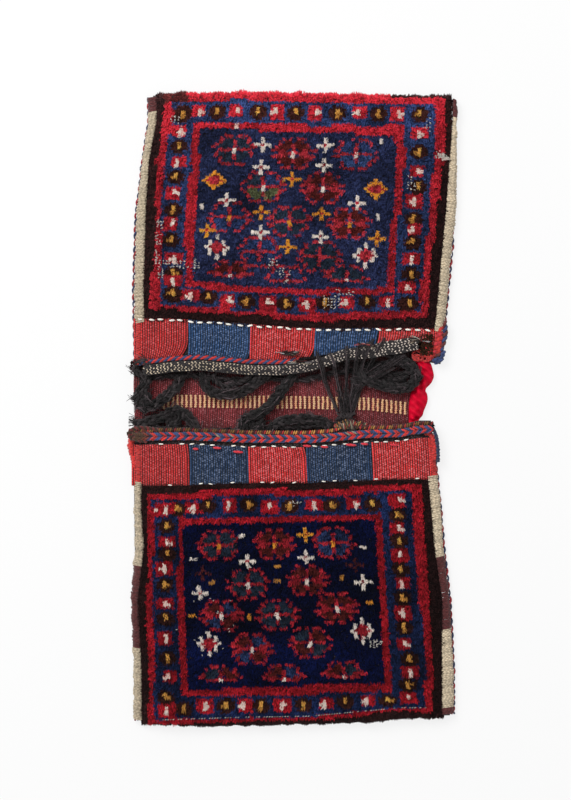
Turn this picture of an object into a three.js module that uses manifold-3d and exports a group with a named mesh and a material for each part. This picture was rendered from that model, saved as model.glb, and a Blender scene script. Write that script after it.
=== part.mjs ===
// A small double saddlebag, lying flat and empty: one woven length is folded up at both ends into two
// pouches with knotted pile faces, and its flat middle is the bridge that hangs over a saddle.
// Millimetres, +Z up, the back of the bag on z = 0, +Y towards the upper pouch.

import * as THREE from "three";
import Module from "manifold-3d";
import { mergeVertices } from "three/addons/utils/BufferGeometryUtils.js";

const wasm = await Module();
wasm.setup();

// Cloth and pile
const CLOTH = 3;
const POCKET_GAP = 8;
const SIDE_GAP = 0.6;
const PILE = 6;
const MOTIF_RELIEF = 0.8;
const CLEARANCE = 0.3;

// Layout of a pile face, from the middle outwards
const FIELD_WIDTH = 234;
const UPPER_FIELD_LENGTH = 182;
const LOWER_FIELD_LENGTH = 188;
const GUARD = 9.6;
const SQUARE = 14;
const SIDE_SQUARE_MARGIN = 7;
const END_SQUARE_MARGIN = 3.5;
const EDGE_PILE = 9;
const SELVEDGE = 11.5;
const SELVEDGE_HEIGHT = 4.5;
const UPPER_MOUTH_PILE = 10;
const LOWER_MOUTH_PILE = 6;

// Motifs of the pile
const FLOWER_WIDTH = 43;
const FLOWER_HEIGHT = 33;
const FLOWER_NOTCH = 0.82;
const FLOWER_LOBES = 8;
const FLOWER_COLUMN = 72;
const FLOWER_ROW = 40;
const END_SQUARE_PITCH = 23.6;
const SIDE_SQUARE_PITCH = 18;

// Slit tapestry along each mouth, and the bridge
const UPPER_KILIM = 40;
const LOWER_KILIM = 52;
const KILIM_SQUARES = 5;
const KILIM_THICKNESS = 1.5;
const RIB_HEIGHT = 0.7;
const RIB_PITCH = 6.2;
const SLIT = 0.8;
const BRIDGE_LENGTH = 103;
const BRIDGE_TUCK = 22;

// How the bag has stretched: cloth width over or under the woven width, and the sideways shift,
// at the mouth, the middle and the fold of each pouch
const UPPER_STRETCH = [-2, 5, -9];
const UPPER_SHIFT = [-5, 1.5, 11.5];
const UPPER_SEAM_SLANT = -20;
const LOWER_STRETCH = [-10, -1, 3];
const LOWER_SHIFT = [-12, -5.5, 3.5];
const LOWER_SEAM_SLANT = 10;
const LIP_LIFT_AT = 130;
const LIP_LIFT_REACH = 95;
const LIP_LIFT_LEAVES = 6;

// Sewn edges and trims
const SEAM = 5;
const BRAID_WIDTH = 13;
const BRAID_HEIGHT = 8;
const BRAID_PITCH = 13;
const BRAID_WAIST = 0.86;
const TWIST_WIDTH = 9;
const TWIST_END = 10;
const TWIST_TAPER = 50;
const CHEVRON_WIDTH = 10;
const EDGING_WIDTH = 6;
const EDGING_HEIGHT = 6;

// Cloth that binds the bridge's right edge
const BINDING_LENGTH = 72;
const BINDING_RISE = 9;
const BINDING_ON_BRIDGE = 13;
const BINDING_OVERHANG = 4;
const BINDING_LOBES = 3;
const BINDING_BULGE = 10;
const BINDING_THICKNESS = 3;

// Brocade stripe on the bridge
const BROCADE = 0.8;
const BROCADE_VALLEY = 0.3;
const BROCADE_DEPTH = 17;
const BROCADE_RISE = 1.5;
const BROCADE_START = 30;
const BROCADE_STOP = 4;
const BROCADE_PITCH = 5.8;

// Goat hair loops and tie yarns
const LOOP_RADIUS = 6.5;
const LOOP_SIDES = 10;
const LOOP_STEP = 10;
const YARN_RADIUS = 1.5;
const YARN_SIDES = 8;
const YARN_STEP = 7;
const TIE_SPACING = 3.5;
const WRAP_RADIUS = 5;
const WRAP_X = 63;
const WRAP_Y = -15;

const COLOURS = {
  madder: 0x6e2f30,
  navy: 0x23243a,
  blue: 0x2c3350,
  red: 0x8a2530,
  darkBrown: 0x2e1718,
  ivory: 0xb7a287,
  kilimRed: 0xb03d3c,
  kilimBlue: 0x354965,
  saltPepper: 0x6d6056,
  orange: 0xb8764a,
  goatHair: 0x2a2224,
  crimson: 0xb0092b,
};

// Sizes that follow from the driving ones
const SIDE_BORDER = SQUARE + 2 * SIDE_SQUARE_MARGIN;
const END_BORDER = SQUARE + 2 * END_SQUARE_MARGIN;
const SHOULDER = SELVEDGE + EDGE_PILE;
const CLOTH_WIDTH = FIELD_WIDTH + 2 * (2 * GUARD + SIDE_BORDER + SHOULDER);
const HALF_WIDTH = CLOTH_WIDTH / 2;
const FLAT_HALF = HALF_WIDTH - SHOULDER;
const FOLD_RADIUS = CLOTH + POCKET_GAP / 2;
const FRONT_TOP = 2 * CLOTH + POCKET_GAP;
const PILE_FLOOR = FRONT_TOP + CLEARANCE;
const PILE_TOP = PILE_FLOOR + PILE;
const TRIM_FLOOR = CLOTH + POCKET_GAP + CLEARANCE;
const END_BANDS = 2 * GUARD + END_BORDER;

const UPPER_LIFT = UPPER_KILIM + (UPPER_SEAM_SLANT * LIP_LIFT_AT) / CLOTH_WIDTH - LIP_LIFT_LEAVES;

function pouch(sizes) {
  const seam = sizes.kilim + sizes.mouthPile;
  const depth = seam + 2 * END_BANDS + sizes.field + FOLD_RADIUS;
  return { ...sizes, seam, depth };
}

const upper = pouch({
  name: "upper", side: 1, kilim: UPPER_KILIM, mouthPile: UPPER_MOUTH_PILE, field: UPPER_FIELD_LENGTH,
  stretch: UPPER_STRETCH, shift: UPPER_SHIFT, slant: UPPER_SEAM_SLANT, lift: UPPER_LIFT, fullRow: 1,
});
const lower = pouch({
  name: "lower", side: -1, kilim: LOWER_KILIM, mouthPile: LOWER_MOUTH_PILE, field: LOWER_FIELD_LENGTH,
  stretch: LOWER_STRETCH, shift: LOWER_SHIFT, slant: LOWER_SEAM_SLANT, lift: 0, fullRow: 0,
});
const BRIDGE_MIDDLE = (lower.depth - upper.depth) / 2;

// Placing points of the cloth

function quadratic([first, middle, last], share) {
  const bend = 2 * (first + last - 2 * middle);
  return first + (last - first - bend) * share + bend * share * share;
}

function liftAt(across) {
  const reach = THREE.MathUtils.clamp((across - LIP_LIFT_AT) / LIP_LIFT_REACH, -1, 1);
  return Math.cos((reach * Math.PI) / 2) ** 2;
}

// A point of a pouch in plan: across from its middle line, along from its lip towards its fold.
function place(bag, across, along, lifted = true) {
  const share = along / bag.depth;
  const x = quadratic(bag.shift, share) + across * (1 + quadratic(bag.stretch, share) / CLOTH_WIDTH);
  const lip = BRIDGE_MIDDLE + (bag.side * BRIDGE_LENGTH) / 2;
  const rampUp = along / bag.kilim;
  const rampDown = (bag.depth - along) / (bag.depth - bag.kilim);
  const slant = (bag.slant * Math.min(rampUp, rampDown) * across) / CLOTH_WIDTH;
  const lift = lifted ? bag.lift * liftAt(across) * Math.max(0, 1 - rampUp) : 0;
  return new THREE.Vector2(x, lip + bag.side * along + slant + lift);
}

function pocketGap(across) {
  const inward = THREE.MathUtils.clamp((HALF_WIDTH - Math.abs(across)) / SHOULDER, 0, 1);
  return SIDE_GAP + (POCKET_GAP - SIDE_GAP) * inward;
}

function frontTop(across) {
  return 2 * CLOTH + pocketGap(across);
}

function raise(point, z) {
  return new THREE.Vector3(point.x, point.y, z);
}

// Solids

function signedArea(points) {
  return THREE.ShapeUtils.area(points);
}

// Fills a ring whose second half runs back beside its first half, point for point.
function ladder(ring) {
  const last = ring.length - 1;
  const faces = [];
  for (let i = 0; 2 * i + 2 < ring.length; i += 1) {
    faces.push([i, i + 1, last - i - 1], [i, last - i - 1, last - i]);
  }
  return faces;
}

// A closed solid through rings of points, with its two end rings filled.
function loft(rings, flatten, faces) {
  const count = rings[0].length;
  const index = [];
  for (let ring = 0; ring + 1 < rings.length; ring += 1) {
    for (let i = 0; i < count; i += 1) {
      const a = ring * count + i;
      const b = ring * count + ((i + 1) % count);
      index.push(a, b, b + count, a, b + count, a + count);
    }
  }
  const fill = (ring, offset, turned) => {
    const flat = ring.map(flatten);
    const wanted = Math.sign(signedArea(flat)) * (turned ? -1 : 1);
    for (const [a, b, c] of faces ?? THREE.ShapeUtils.triangulateShape(flat, [])) {
      const same = Math.sign(signedArea([flat[a], flat[b], flat[c]])) === wanted;
      index.push(offset + a, offset + (same ? b : c), offset + (same ? c : b));
    }
  };
  fill(rings[0], 0, true);
  fill(rings.at(-1), (rings.length - 1) * count, false);
  const geometry = new THREE.BufferGeometry();
  const positions = rings.flat().flatMap((point) => [point.x, point.y, point.z]);
  geometry.setAttribute("position", new THREE.Float32BufferAttribute(positions, 3));
  geometry.setIndex(index);
  return facingOut(geometry);
}

function facingOut(geometry) {
  const points = geometry.attributes.position;
  const corners = [new THREE.Vector3(), new THREE.Vector3(), new THREE.Vector3()];
  const order = geometry.index.array;
  let volume = 0;
  for (let i = 0; i < order.length; i += 3) {
    corners.forEach((corner, j) => corner.fromBufferAttribute(points, order[i + j]));
    volume += corners[0].dot(corners[1].clone().cross(corners[2]));
  }
  if (volume < 0) {
    for (let i = 0; i < order.length; i += 3) {
      [order[i], order[i + 1]] = [order[i + 1], order[i]];
    }
  }
  return geometry;
}

function slab(outline, bottom, top, hole) {
  const anticlockwise = signedArea(outline) > 0 ? outline : outline.slice().reverse();
  const shape = new THREE.Shape(anticlockwise);
  if (hole) shape.holes.push(new THREE.Path(hole));
  const geometry = new THREE.ExtrudeGeometry(shape, { depth: top - bottom, bevelEnabled: false });
  return geometry.translate(0, 0, bottom);
}

function toManifold(geometry) {
  const bare = geometry.clone();
  bare.deleteAttribute("normal");
  bare.deleteAttribute("uv");
  const merged = mergeVertices(bare);
  const mesh = new wasm.Mesh({
    numProp: 3,
    vertProperties: Float32Array.from(merged.attributes.position.array),
    triVerts: Uint32Array.from(merged.index.array),
  });
  return new wasm.Manifold(mesh);
}

function join(base, additions) {
  const whole = additions.reduce((sum, piece) => sum.add(toManifold(piece)), toManifold(base)).getMesh();
  const geometry = new THREE.BufferGeometry();
  geometry.setAttribute("position", new THREE.Float32BufferAttribute(whole.vertProperties, 3));
  geometry.setIndex(Array.from(whole.triVerts));
  return geometry;
}

const bagGroup = new THREE.Group();

function add(name, geometry, colour) {
  const material = new THREE.MeshStandardMaterial({ color: colour, roughness: 0.95, metalness: 0 });
  const mesh = new THREE.Mesh(geometry, material);
  mesh.name = name;
  bagGroup.add(mesh);
}

// The woven length: a flat run of two backs and the bridge, and at each end a front that is folded up over it

const ARC_STEPS = 5;
const LENGTH_STEPS = 4;
const LIFT_STEPS = 6;
const TUCK_SHARES = [0.2, 0.8];

function frontStations(bag) {
  const fold = bag.depth - FOLD_RADIUS;
  const stations = [0, bag.kilim];
  for (let i = 1; i < LENGTH_STEPS; i += 1) {
    stations.push(bag.kilim + ((fold - bag.kilim) * i) / LENGTH_STEPS);
  }
  return stations;
}

function foldArc(bag, across, radius) {
  const centreAlong = bag.depth - CLOTH - pocketGap(across) / 2;
  const centreHeight = CLOTH + pocketGap(across) / 2;
  return Array.from({ length: ARC_STEPS + 1 }, (_, i) => {
    const angle = Math.PI / 2 - (Math.PI * i) / ARC_STEPS;
    const along = centreAlong + radius * Math.cos(angle);
    return raise(place(bag, across, along), centreHeight + radius * Math.sin(angle));
  });
}

function bridgePoint(across, share) {
  const point = place(upper, across, 0, false).lerp(place(lower, across, 0, false), share);
  point.x -= (BRIDGE_TUCK * Math.max(0, across)) / HALF_WIDTH;
  return point;
}

function layer(bag, across, z, lifted) {
  return frontStations(bag).map((along) => raise(place(bag, across, along, lifted), z));
}

function backSlice(across) {
  const back = (bag, z) => {
    const foldStart = bag.depth - CLOTH - pocketGap(across) / 2 - CLEARANCE;
    return [...layer(bag, across, z, false), raise(place(bag, across, foldStart, false), z)];
  };
  const bridge = (z) => TUCK_SHARES.map((share) => raise(bridgePoint(across, share), z));
  const length = (z) => [...back(upper, z).reverse(), ...bridge(z), ...back(lower, z)];
  return [...length(0), ...length(CLOTH).reverse()];
}

function frontSlice(bag, across) {
  const gap = pocketGap(across);
  const outer = [...layer(bag, across, 2 * CLOTH + gap, true), ...foldArc(bag, across, CLOTH + gap / 2)];
  const inner = [...layer(bag, across, CLOTH + gap, true), ...foldArc(bag, across, gap / 2)];
  return [...outer, ...inner.reverse()];
}

function weave(slice) {
  const liftLines = Array.from({ length: LIFT_STEPS + 1 }, (_, i) =>
    LIP_LIFT_AT - LIP_LIFT_REACH * (1 - i / LIFT_STEPS));
  const lines = [-HALF_WIDTH, -FLAT_HALF, ...liftLines, FLAT_HALF, HALF_WIDTH].sort((a, b) => a - b);
  const slices = lines.map(slice);
  return loft(slices, (point) => new THREE.Vector2(point.y, point.z), ladder(slices[0]));
}

// Pile faces: bands of colour round a field, flat on the front of each pouch

const EDGE_STEP = 45;

function panel(bag, half, near, far) {
  const count = Math.ceil((far - near) / EDGE_STEP);
  const steps = Array.from({ length: count + 1 }, (_, i) => near + ((far - near) * i) / count);
  const left = steps.map((along) => place(bag, -half, along));
  const right = steps.map((along) => place(bag, half, along)).reverse();
  return [...left, ...right];
}

function band(bag, half, near, far, width, endWidth) {
  const outer = panel(bag, half - CLEARANCE / 2, near + CLEARANCE / 2, far - CLEARANCE / 2);
  const inset = CLEARANCE / 2;
  const hole = panel(bag, half - width + inset, near + endWidth - inset, far - endWidth + inset);
  return slab(outer, PILE_FLOOR, PILE_TOP, hole);
}

function motif(outline) {
  return slab(outline, PILE_FLOOR + PILE / 2, PILE_TOP + MOTIF_RELIEF);
}

function flower(bag, across, along) {
  const outline = Array.from({ length: 2 * FLOWER_LOBES }, (_, i) => {
    const angle = (Math.PI * i) / FLOWER_LOBES;
    const reach = i % 2 ? FLOWER_NOTCH : 1;
    const x = across + (FLOWER_WIDTH / 2) * reach * Math.cos(angle);
    return place(bag, x, along + (FLOWER_HEIGHT / 2) * reach * Math.sin(angle));
  });
  return motif(outline);
}

// Flowers in staggered rows, as many as the field holds, with a full row nearest the fold or the mouth.
function flowers(bag, near) {
  const rows = 1 + Math.floor((bag.field - FLOWER_HEIGHT) / FLOWER_ROW);
  const widest = 1 + Math.floor((FIELD_WIDTH - FLOWER_WIDTH) / FLOWER_COLUMN);
  const first = near + (bag.field - (rows - 1) * FLOWER_ROW) / 2;
  const blooms = [];
  for (let row = 0; row < rows; row += 1) {
    const count = row % 2 === bag.fullRow ? widest : widest - 1;
    for (let column = 0; column < count; column += 1) {
      const across = (column - (count - 1) / 2) * FLOWER_COLUMN;
      blooms.push(flower(bag, across, first + row * FLOWER_ROW));
    }
  }
  return blooms;
}

function square(bag, across, along) {
  const corners = [[-1, -1], [1, -1], [1, 1], [-1, 1]];
  return motif(corners.map(([i, j]) => place(bag, across + (i * SQUARE) / 2, along + (j * SQUARE) / 2)));
}

function spread(from, to, pitch) {
  const count = Math.max(1, Math.round((to - from) / pitch));
  return Array.from({ length: count + 1 }, (_, i) => from + ((to - from) * i) / count);
}

function borderSquares(bag, half, near, far) {
  const sides = half - SIDE_BORDER / 2;
  const low = near + END_BORDER / 2;
  const high = far - END_BORDER / 2;
  const ends = spread(-sides, sides, END_SQUARE_PITCH);
  const columns = spread(low, high, SIDE_SQUARE_PITCH).slice(1, -1);
  return [
    ...ends.flatMap((across) => [square(bag, across, low), square(bag, across, high)]),
    ...columns.flatMap((along) => [square(bag, -sides, along), square(bag, sides, along)]),
  ];
}

function addPileFace(bag) {
  const near = bag.seam;
  const far = bag.depth - FOLD_RADIUS;
  const borderHalf = FLAT_HALF - GUARD;
  const guardHalf = borderHalf - SIDE_BORDER;
  const fieldHalf = guardHalf - GUARD;
  const borderNear = near + GUARD;
  const guardNear = borderNear + END_BORDER;
  const fieldNear = guardNear + GUARD;
  const mirrored = (along) => far - (along - near);
  const inset = CLEARANCE / 2;

  const outerGuard = band(bag, FLAT_HALF, near, far, GUARD, GUARD);
  add(`${bag.name}_outer_guard`, outerGuard, COLOURS.red);

  const border = band(bag, borderHalf, borderNear, mirrored(borderNear), SIDE_BORDER, END_BORDER);
  const squares = borderSquares(bag, borderHalf, borderNear, mirrored(borderNear));
  add(`${bag.name}_border`, join(border, squares), COLOURS.blue);

  const innerGuard = band(bag, guardHalf, guardNear, mirrored(guardNear), GUARD, GUARD);
  add(`${bag.name}_inner_guard`, innerGuard, COLOURS.red);

  const fieldOutline = panel(bag, fieldHalf - inset, fieldNear + inset, mirrored(fieldNear) - inset);
  const field = slab(fieldOutline, PILE_FLOOR, PILE_TOP);
  add(`${bag.name}_field`, join(field, flowers(bag, fieldNear)), COLOURS.navy);

  const mouthOutline = panel(bag, FLAT_HALF - inset, bag.kilim + inset, near - inset);
  add(`${bag.name}_mouth_pile`, slab(mouthOutline, PILE_FLOOR, PILE_TOP), COLOURS.darkBrown);
}

// Sides of a pouch: dark edge pile and wrapped selvedge on the sloping shoulder, seam cord outside

const SIDES = { left: -1, right: 1 };
const ROPE_SIDES = 8;

function sideStations(bag, from) {
  const to = bag.depth - FOLD_RADIUS;
  const count = Math.ceil((to - from) / EDGE_STEP);
  return Array.from({ length: count + 1 }, (_, i) => from + ((to - from) * i) / count);
}

function sideRun(bag, hand, from, section) {
  const rings = sideStations(bag, from).map((along) =>
    section.map(([across, z]) => raise(place(bag, hand * across, along, false), z)));
  return loft(rings, (point) => new THREE.Vector2(point.x, point.z));
}

function addSides(bag) {
  const inner = FLAT_HALF + CLEARANCE / 2;
  const split = FLAT_HALF + EDGE_PILE;
  const edgeOut = split - CLEARANCE / 2;
  const wrapIn = split + CLEARANCE / 2;
  const onFront = (across, height) => [across, frontTop(across) + CLEARANCE + height];
  const edgePile = [
    onFront(inner, 0), onFront(edgeOut, 0), onFront(edgeOut, PILE), onFront(inner, PILE),
  ];
  const crown = SELVEDGE / 3;
  const flank = SELVEDGE_HEIGHT / 2;
  const wrap = [
    onFront(wrapIn, 0), onFront(HALF_WIDTH, 0),
    onFront(HALF_WIDTH, flank), onFront(HALF_WIDTH - crown, SELVEDGE_HEIGHT),
    onFront(wrapIn + crown, SELVEDGE_HEIGHT), onFront(wrapIn, flank),
  ];
  const seamCentre = HALF_WIDTH + CLEARANCE + SEAM / 2;
  const seamHeight = CLOTH + SIDE_GAP / 2;
  const seam = Array.from({ length: ROPE_SIDES }, (_, i) => {
    const angle = (2 * Math.PI * i) / ROPE_SIDES;
    return [seamCentre + (SEAM / 2) * Math.cos(angle), seamHeight + (SEAM / 2) * Math.sin(angle)];
  });
  for (const [word, hand] of Object.entries(SIDES)) {
    const start = bag.kilim + CLEARANCE;
    add(`${bag.name}_${word}_edge_pile`, sideRun(bag, hand, start, edgePile), COLOURS.darkBrown);
    add(`${bag.name}_${word}_selvedge`, sideRun(bag, hand, start, wrap), COLOURS.ivory);
    add(`${bag.name}_${word}_seam`, sideRun(bag, hand, 0, seam), COLOURS.red);
  }
}

// Tapestry squares along a mouth, each a ribbed patch with a slit to the next

function kilimSquare(bag, from, to) {
  const ribs = Math.max(2, Math.round((to - from) / RIB_PITCH));
  const lines = Array.from({ length: 2 * ribs + 1 }, (_, i) => from + ((to - from) * i) / (2 * ribs));
  const under = lines.map((across) => [across, frontTop(across) + CLEARANCE]);
  const over = under.map(([across, z], i) => [across, z + KILIM_THICKNESS + (i % 2 ? RIB_HEIGHT : 0)]);
  const section = [...under, ...over.reverse()];
  const rings = [0, bag.kilim].map((along) =>
    section.map(([across, z]) => raise(place(bag, across, along), z)));
  return loft(rings, (point) => new THREE.Vector2(point.x, point.z), ladder(section));
}

function addKilim(bag) {
  const width = CLOTH_WIDTH / KILIM_SQUARES;
  for (let i = 0; i < KILIM_SQUARES; i += 1) {
    const from = -HALF_WIDTH + i * width + (i ? SLIT / 2 : 0);
    const to = -HALF_WIDTH + (i + 1) * width - (i + 1 < KILIM_SQUARES ? SLIT / 2 : 0);
    const colour = i % 2 ? COLOURS.kilimBlue : COLOURS.kilimRed;
    add(`${bag.name}_kilim_square_${i + 1}`, kilimSquare(bag, from, to), colour);
  }
}

// Trims along the mouths: ropes that stand against the lip

function rope(bag, from, to, offset, width, height, pitch, waist) {
  const steps = 2 * Math.max(2, Math.round((to - from) / pitch));
  const across = Array.from({ length: steps + 1 }, (_, i) => from + ((to - from) * i) / steps);
  const centres = across.map((s) => {
    const point = place(bag, s, 0);
    point.y -= bag.side * (offset(s) + width / 2);
    return point;
  });
  const rings = centres.map((centre, i) => {
    const before = centres[Math.max(0, i - 1)];
    const after = centres[Math.min(steps, i + 1)];
    const forward = after.clone().sub(before).normalize();
    const size = i % 2 ? 1 : waist;
    return Array.from({ length: ROPE_SIDES }, (_, j) => {
      const angle = (2 * Math.PI * (j + 0.5)) / ROPE_SIDES;
      const side = (width / 2) * size * Math.cos(angle);
      const z = TRIM_FLOOR + (height / 2) * (1 + size * Math.sin(angle));
      return new THREE.Vector3(centre.x - forward.y * side, centre.y + forward.x * side, z);
    });
  });
  return loft(rings, (point) => new THREE.Vector2(point.y, point.z));
}

function addTrims() {
  const twistRoom = (across) => {
    const share = THREE.MathUtils.smoothstep(across, TWIST_END, TWIST_END + TWIST_TAPER);
    return CLEARANCE + (TWIST_WIDTH + CLEARANCE) * (1 - share);
  };
  const atLip = () => CLEARANCE;
  const beyondChevron = () => CHEVRON_WIDTH + 2 * CLEARANCE;
  const twist = rope(
    upper, -HALF_WIDTH, TWIST_END, atLip, TWIST_WIDTH, TWIST_WIDTH, TWIST_WIDTH, BRAID_WAIST,
  );
  add("upper_mouth_twist", twist, COLOURS.red);
  const braid = rope(
    upper, -HALF_WIDTH, LIP_LIFT_AT, twistRoom, BRAID_WIDTH, BRAID_HEIGHT, BRAID_PITCH, BRAID_WAIST,
  );
  add("upper_mouth_braid", braid, COLOURS.saltPepper);
  const chevron = rope(
    lower, -HALF_WIDTH, HALF_WIDTH, atLip, CHEVRON_WIDTH, BRAID_HEIGHT, BRAID_PITCH, BRAID_WAIST,
  );
  add("lower_mouth_braid", chevron, COLOURS.red);
  const edging = rope(
    lower, -HALF_WIDTH, HALF_WIDTH, beyondChevron, EDGING_WIDTH, EDGING_HEIGHT, EDGE_STEP, 1,
  );
  add("lower_mouth_edging", edging, COLOURS.orange);
}

// Brocade stripe and the binding cloth of the bridge

const LOBE_STEPS = 6;
const BRIDGE_LEFT = bridgePoint(-HALF_WIDTH, 0.5).x;
const BRIDGE_RIGHT = bridgePoint(HALF_WIDTH, 0.5).x;
const BRIDGE_TOP = CLOTH + CLEARANCE;
const BINDING_LEFT = BRIDGE_RIGHT - BINDING_ON_BRIDGE;

function brocade() {
  const left = BRIDGE_LEFT + BROCADE_START;
  const right = BINDING_LEFT - BROCADE_STOP;
  const bars = Math.round((right - left) / BROCADE_PITCH);
  const step = (right - left) / (2 * bars);
  const over = Array.from({ length: 2 * bars + 1 }, (_, i) =>
    [left + step * i, BRIDGE_TOP + (i % 2 ? BROCADE : BROCADE_VALLEY)]);
  const section = [[left, BRIDGE_TOP], [right, BRIDGE_TOP], ...over.reverse()];
  const middle = BRIDGE_MIDDLE + BROCADE_RISE;
  const rings = [middle - BROCADE_DEPTH / 2, middle + BROCADE_DEPTH / 2].map((y) =>
    section.map(([x, z]) => new THREE.Vector3(x, y, z)));
  return loft(rings, (point) => new THREE.Vector2(point.x, point.z));
}

function bridgeBinding() {
  const low = BRIDGE_MIDDLE + BINDING_RISE - BINDING_LENGTH / 2;
  const high = low + BINDING_LENGTH;
  const right = BRIDGE_RIGHT + BINDING_OVERHANG;
  const count = BINDING_LOBES * LOBE_STEPS;
  const lobes = Array.from({ length: count + 1 }, (_, i) => {
    const swell = BINDING_BULGE * Math.sin((Math.PI * (i % LOBE_STEPS)) / LOBE_STEPS);
    return new THREE.Vector2(right + swell, low + (BINDING_LENGTH * i) / count);
  });
  const outline = [
    new THREE.Vector2(BINDING_LEFT, high), new THREE.Vector2(BINDING_LEFT, low), ...lobes,
  ];
  return slab(outline, BRIDGE_TOP, BRIDGE_TOP + BINDING_THICKNESS);
}

// Free cords: routes in plan from the middle of the bridge, and the height of the centre line

const BROCADE_TOP = BRIDGE_TOP + BROCADE + CLEARANCE;
const BINDING_TOP = BRIDGE_TOP + BINDING_THICKNESS + CLEARANCE;
const LOOP_LOW = BRIDGE_TOP + LOOP_RADIUS;
const LOOP_ON_BROCADE = BROCADE_TOP + LOOP_RADIUS;
const LOOP_ON_BINDING = BINDING_TOP + LOOP_RADIUS;
const YARN_LOW = BROCADE_TOP + YARN_RADIUS;
const YARN_ON_BRAID = TRIM_FLOOR + BRAID_HEIGHT + CLEARANCE + YARN_RADIUS;
const YARN_ON_KILIM = FRONT_TOP + KILIM_THICKNESS + RIB_HEIGHT + 2 * CLEARANCE + YARN_RADIUS;

const LOOPS = {
  left_mouth_loop: {
    height: LOOP_ON_BROCADE,
    points: [
      [-180, 21], [-184, 15], [-187, 7], [-184, -1], [-176, -4], [-167, 0], [-159, 7], [-152, 14], [-147, 21],
    ],
  },
  middle_mouth_loop: {
    height: LOOP_ON_BROCADE,
    points: [[-109, 22], [-107, 15], [-99, 9], [-88, 6], [-76, 6], [-65, 10], [-57, 16], [-53, 23]],
  },
  long_mouth_loop: {
    height: LOOP_ON_BROCADE,
    points: [
      [17, 23], [12, 17], [3, 11], [-8, 4], [-19, -2], [-30, -8], [-41, -13], [-50, -19], [-54, -28],
    ],
  },
  lower_left_loop: {
    height: LOOP_LOW,
    points: [[-185, -28], [-181, -20], [-171, -15], [-158, -14], [-145, -15], [-134, -19], [-128, -28]],
  },
  lower_middle_loop: {
    height: LOOP_LOW,
    points: [[-24, -28], [-17, -22], [-5, -19], [10, -18], [25, -19], [37, -22], [43, -28]],
  },
  right_mouth_loop: {
    height: LOOP_ON_BINDING,
    points: [
      [119, 55], [126, 48], [136, 43], [143, 36], [145, 26],
      [139, 17], [128, 13], [115, 13], [102, 16], [92, 21],
    ],
  },
};

// Each tie yarn: a place on the bridge, where it tops the braid, and its end on the tapestry
const TIES = [
  [[46, 13], [28, 40], [19, 61]],
  [[54, 13], [44, 42], [40, 63]],
  [[61, 15], [60, 50], [61, 71]],
  [[67, 17], [73, 55], [79, 75]],
  [[73, 17], [84, 60], [92, 79]],
  [[82, 21], [106, 67], [114, 81]],
];

function tieRoute([bridge, top, end], index) {
  const towards = (from, to, distance) => {
    const way = new THREE.Vector2(to[0] - from[0], to[1] - from[1]).setLength(distance);
    return [from[0] + way.x, from[1] + way.y];
  };
  const start = [WRAP_X + TIE_SPACING * (index - (TIES.length - 1) / 2), WRAP_Y + WRAP_RADIUS + CLEARANCE];
  const half = BRAID_WIDTH / 2;
  return [
    [...start, YARN_LOW],
    [...bridge, YARN_LOW + YARN_RADIUS],
    [...towards(top, bridge, half + 3 * YARN_RADIUS), (YARN_LOW + YARN_ON_BRAID) / 2],
    [...towards(top, bridge, half - YARN_RADIUS), YARN_ON_BRAID - YARN_RADIUS / 4],
    [...top, YARN_ON_BRAID + YARN_RADIUS / 4],
    [...towards(top, end, half), YARN_ON_BRAID - YARN_RADIUS / 2],
    [...end, YARN_ON_KILIM],
  ];
}

function tieWrap() {
  const width = TIE_SPACING * TIES.length;
  const wrap = new THREE.CylinderGeometry(WRAP_RADIUS, WRAP_RADIUS, width, LOOP_SIDES);
  return wrap.rotateZ(Math.PI / 2).translate(WRAP_X, BRIDGE_MIDDLE + WRAP_Y, BRIDGE_TOP + WRAP_RADIUS);
}

function cord(route, radius, sides, step) {
  const onBridge = ([x, y, z]) => new THREE.Vector3(x, BRIDGE_MIDDLE + y, z);
  const curve = new THREE.CatmullRomCurve3(route.map(onBridge));
  const ring = Array.from({ length: sides }, (_, i) => {
    const angle = (2 * Math.PI * i) / sides;
    return new THREE.Vector2(radius * Math.cos(angle), radius * Math.sin(angle));
  });
  const steps = Math.round(curve.getLength() / step);
  return new THREE.ExtrudeGeometry(new THREE.Shape(ring), { steps, extrudePath: curve });
}

add("woven_strip", weave(backSlice), COLOURS.madder);
for (const bag of [upper, lower]) {
  add(`${bag.name}_front`, weave((across) => frontSlice(bag, across)), COLOURS.madder);
  addPileFace(bag);
  addSides(bag);
  addKilim(bag);
}
addTrims();
add("bridge_brocade", brocade(), COLOURS.orange);
add("bridge_binding", bridgeBinding(), COLOURS.crimson);
for (const [name, { height, points }] of Object.entries(LOOPS)) {
  const route = points.map((point) => [...point, height]);
  add(name, cord(route, LOOP_RADIUS, LOOP_SIDES, LOOP_STEP), COLOURS.goatHair);
}
add("tie_wrap", tieWrap(), COLOURS.goatHair);
TIES.forEach((tie, index) => {
  const yarn = cord(tieRoute(tie, index), YARN_RADIUS, YARN_SIDES, YARN_STEP);
  add(`tie_yarn_${index + 1}`, yarn, COLOURS.goatHair);
});

export default bagGroup;
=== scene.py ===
# %% [markdown]
# # A small double saddlebag in wool
# Two pouches with knotted pile faces hang from one woven length. The bag lies flat and empty, and we look
# straight down on it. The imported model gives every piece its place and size, and this lesson gives each
# piece its yarn: tufts for the pile, ribs for the tapestry, plaits for the loops and stitches for the
# seams.

import math
from types import SimpleNamespace

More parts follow.
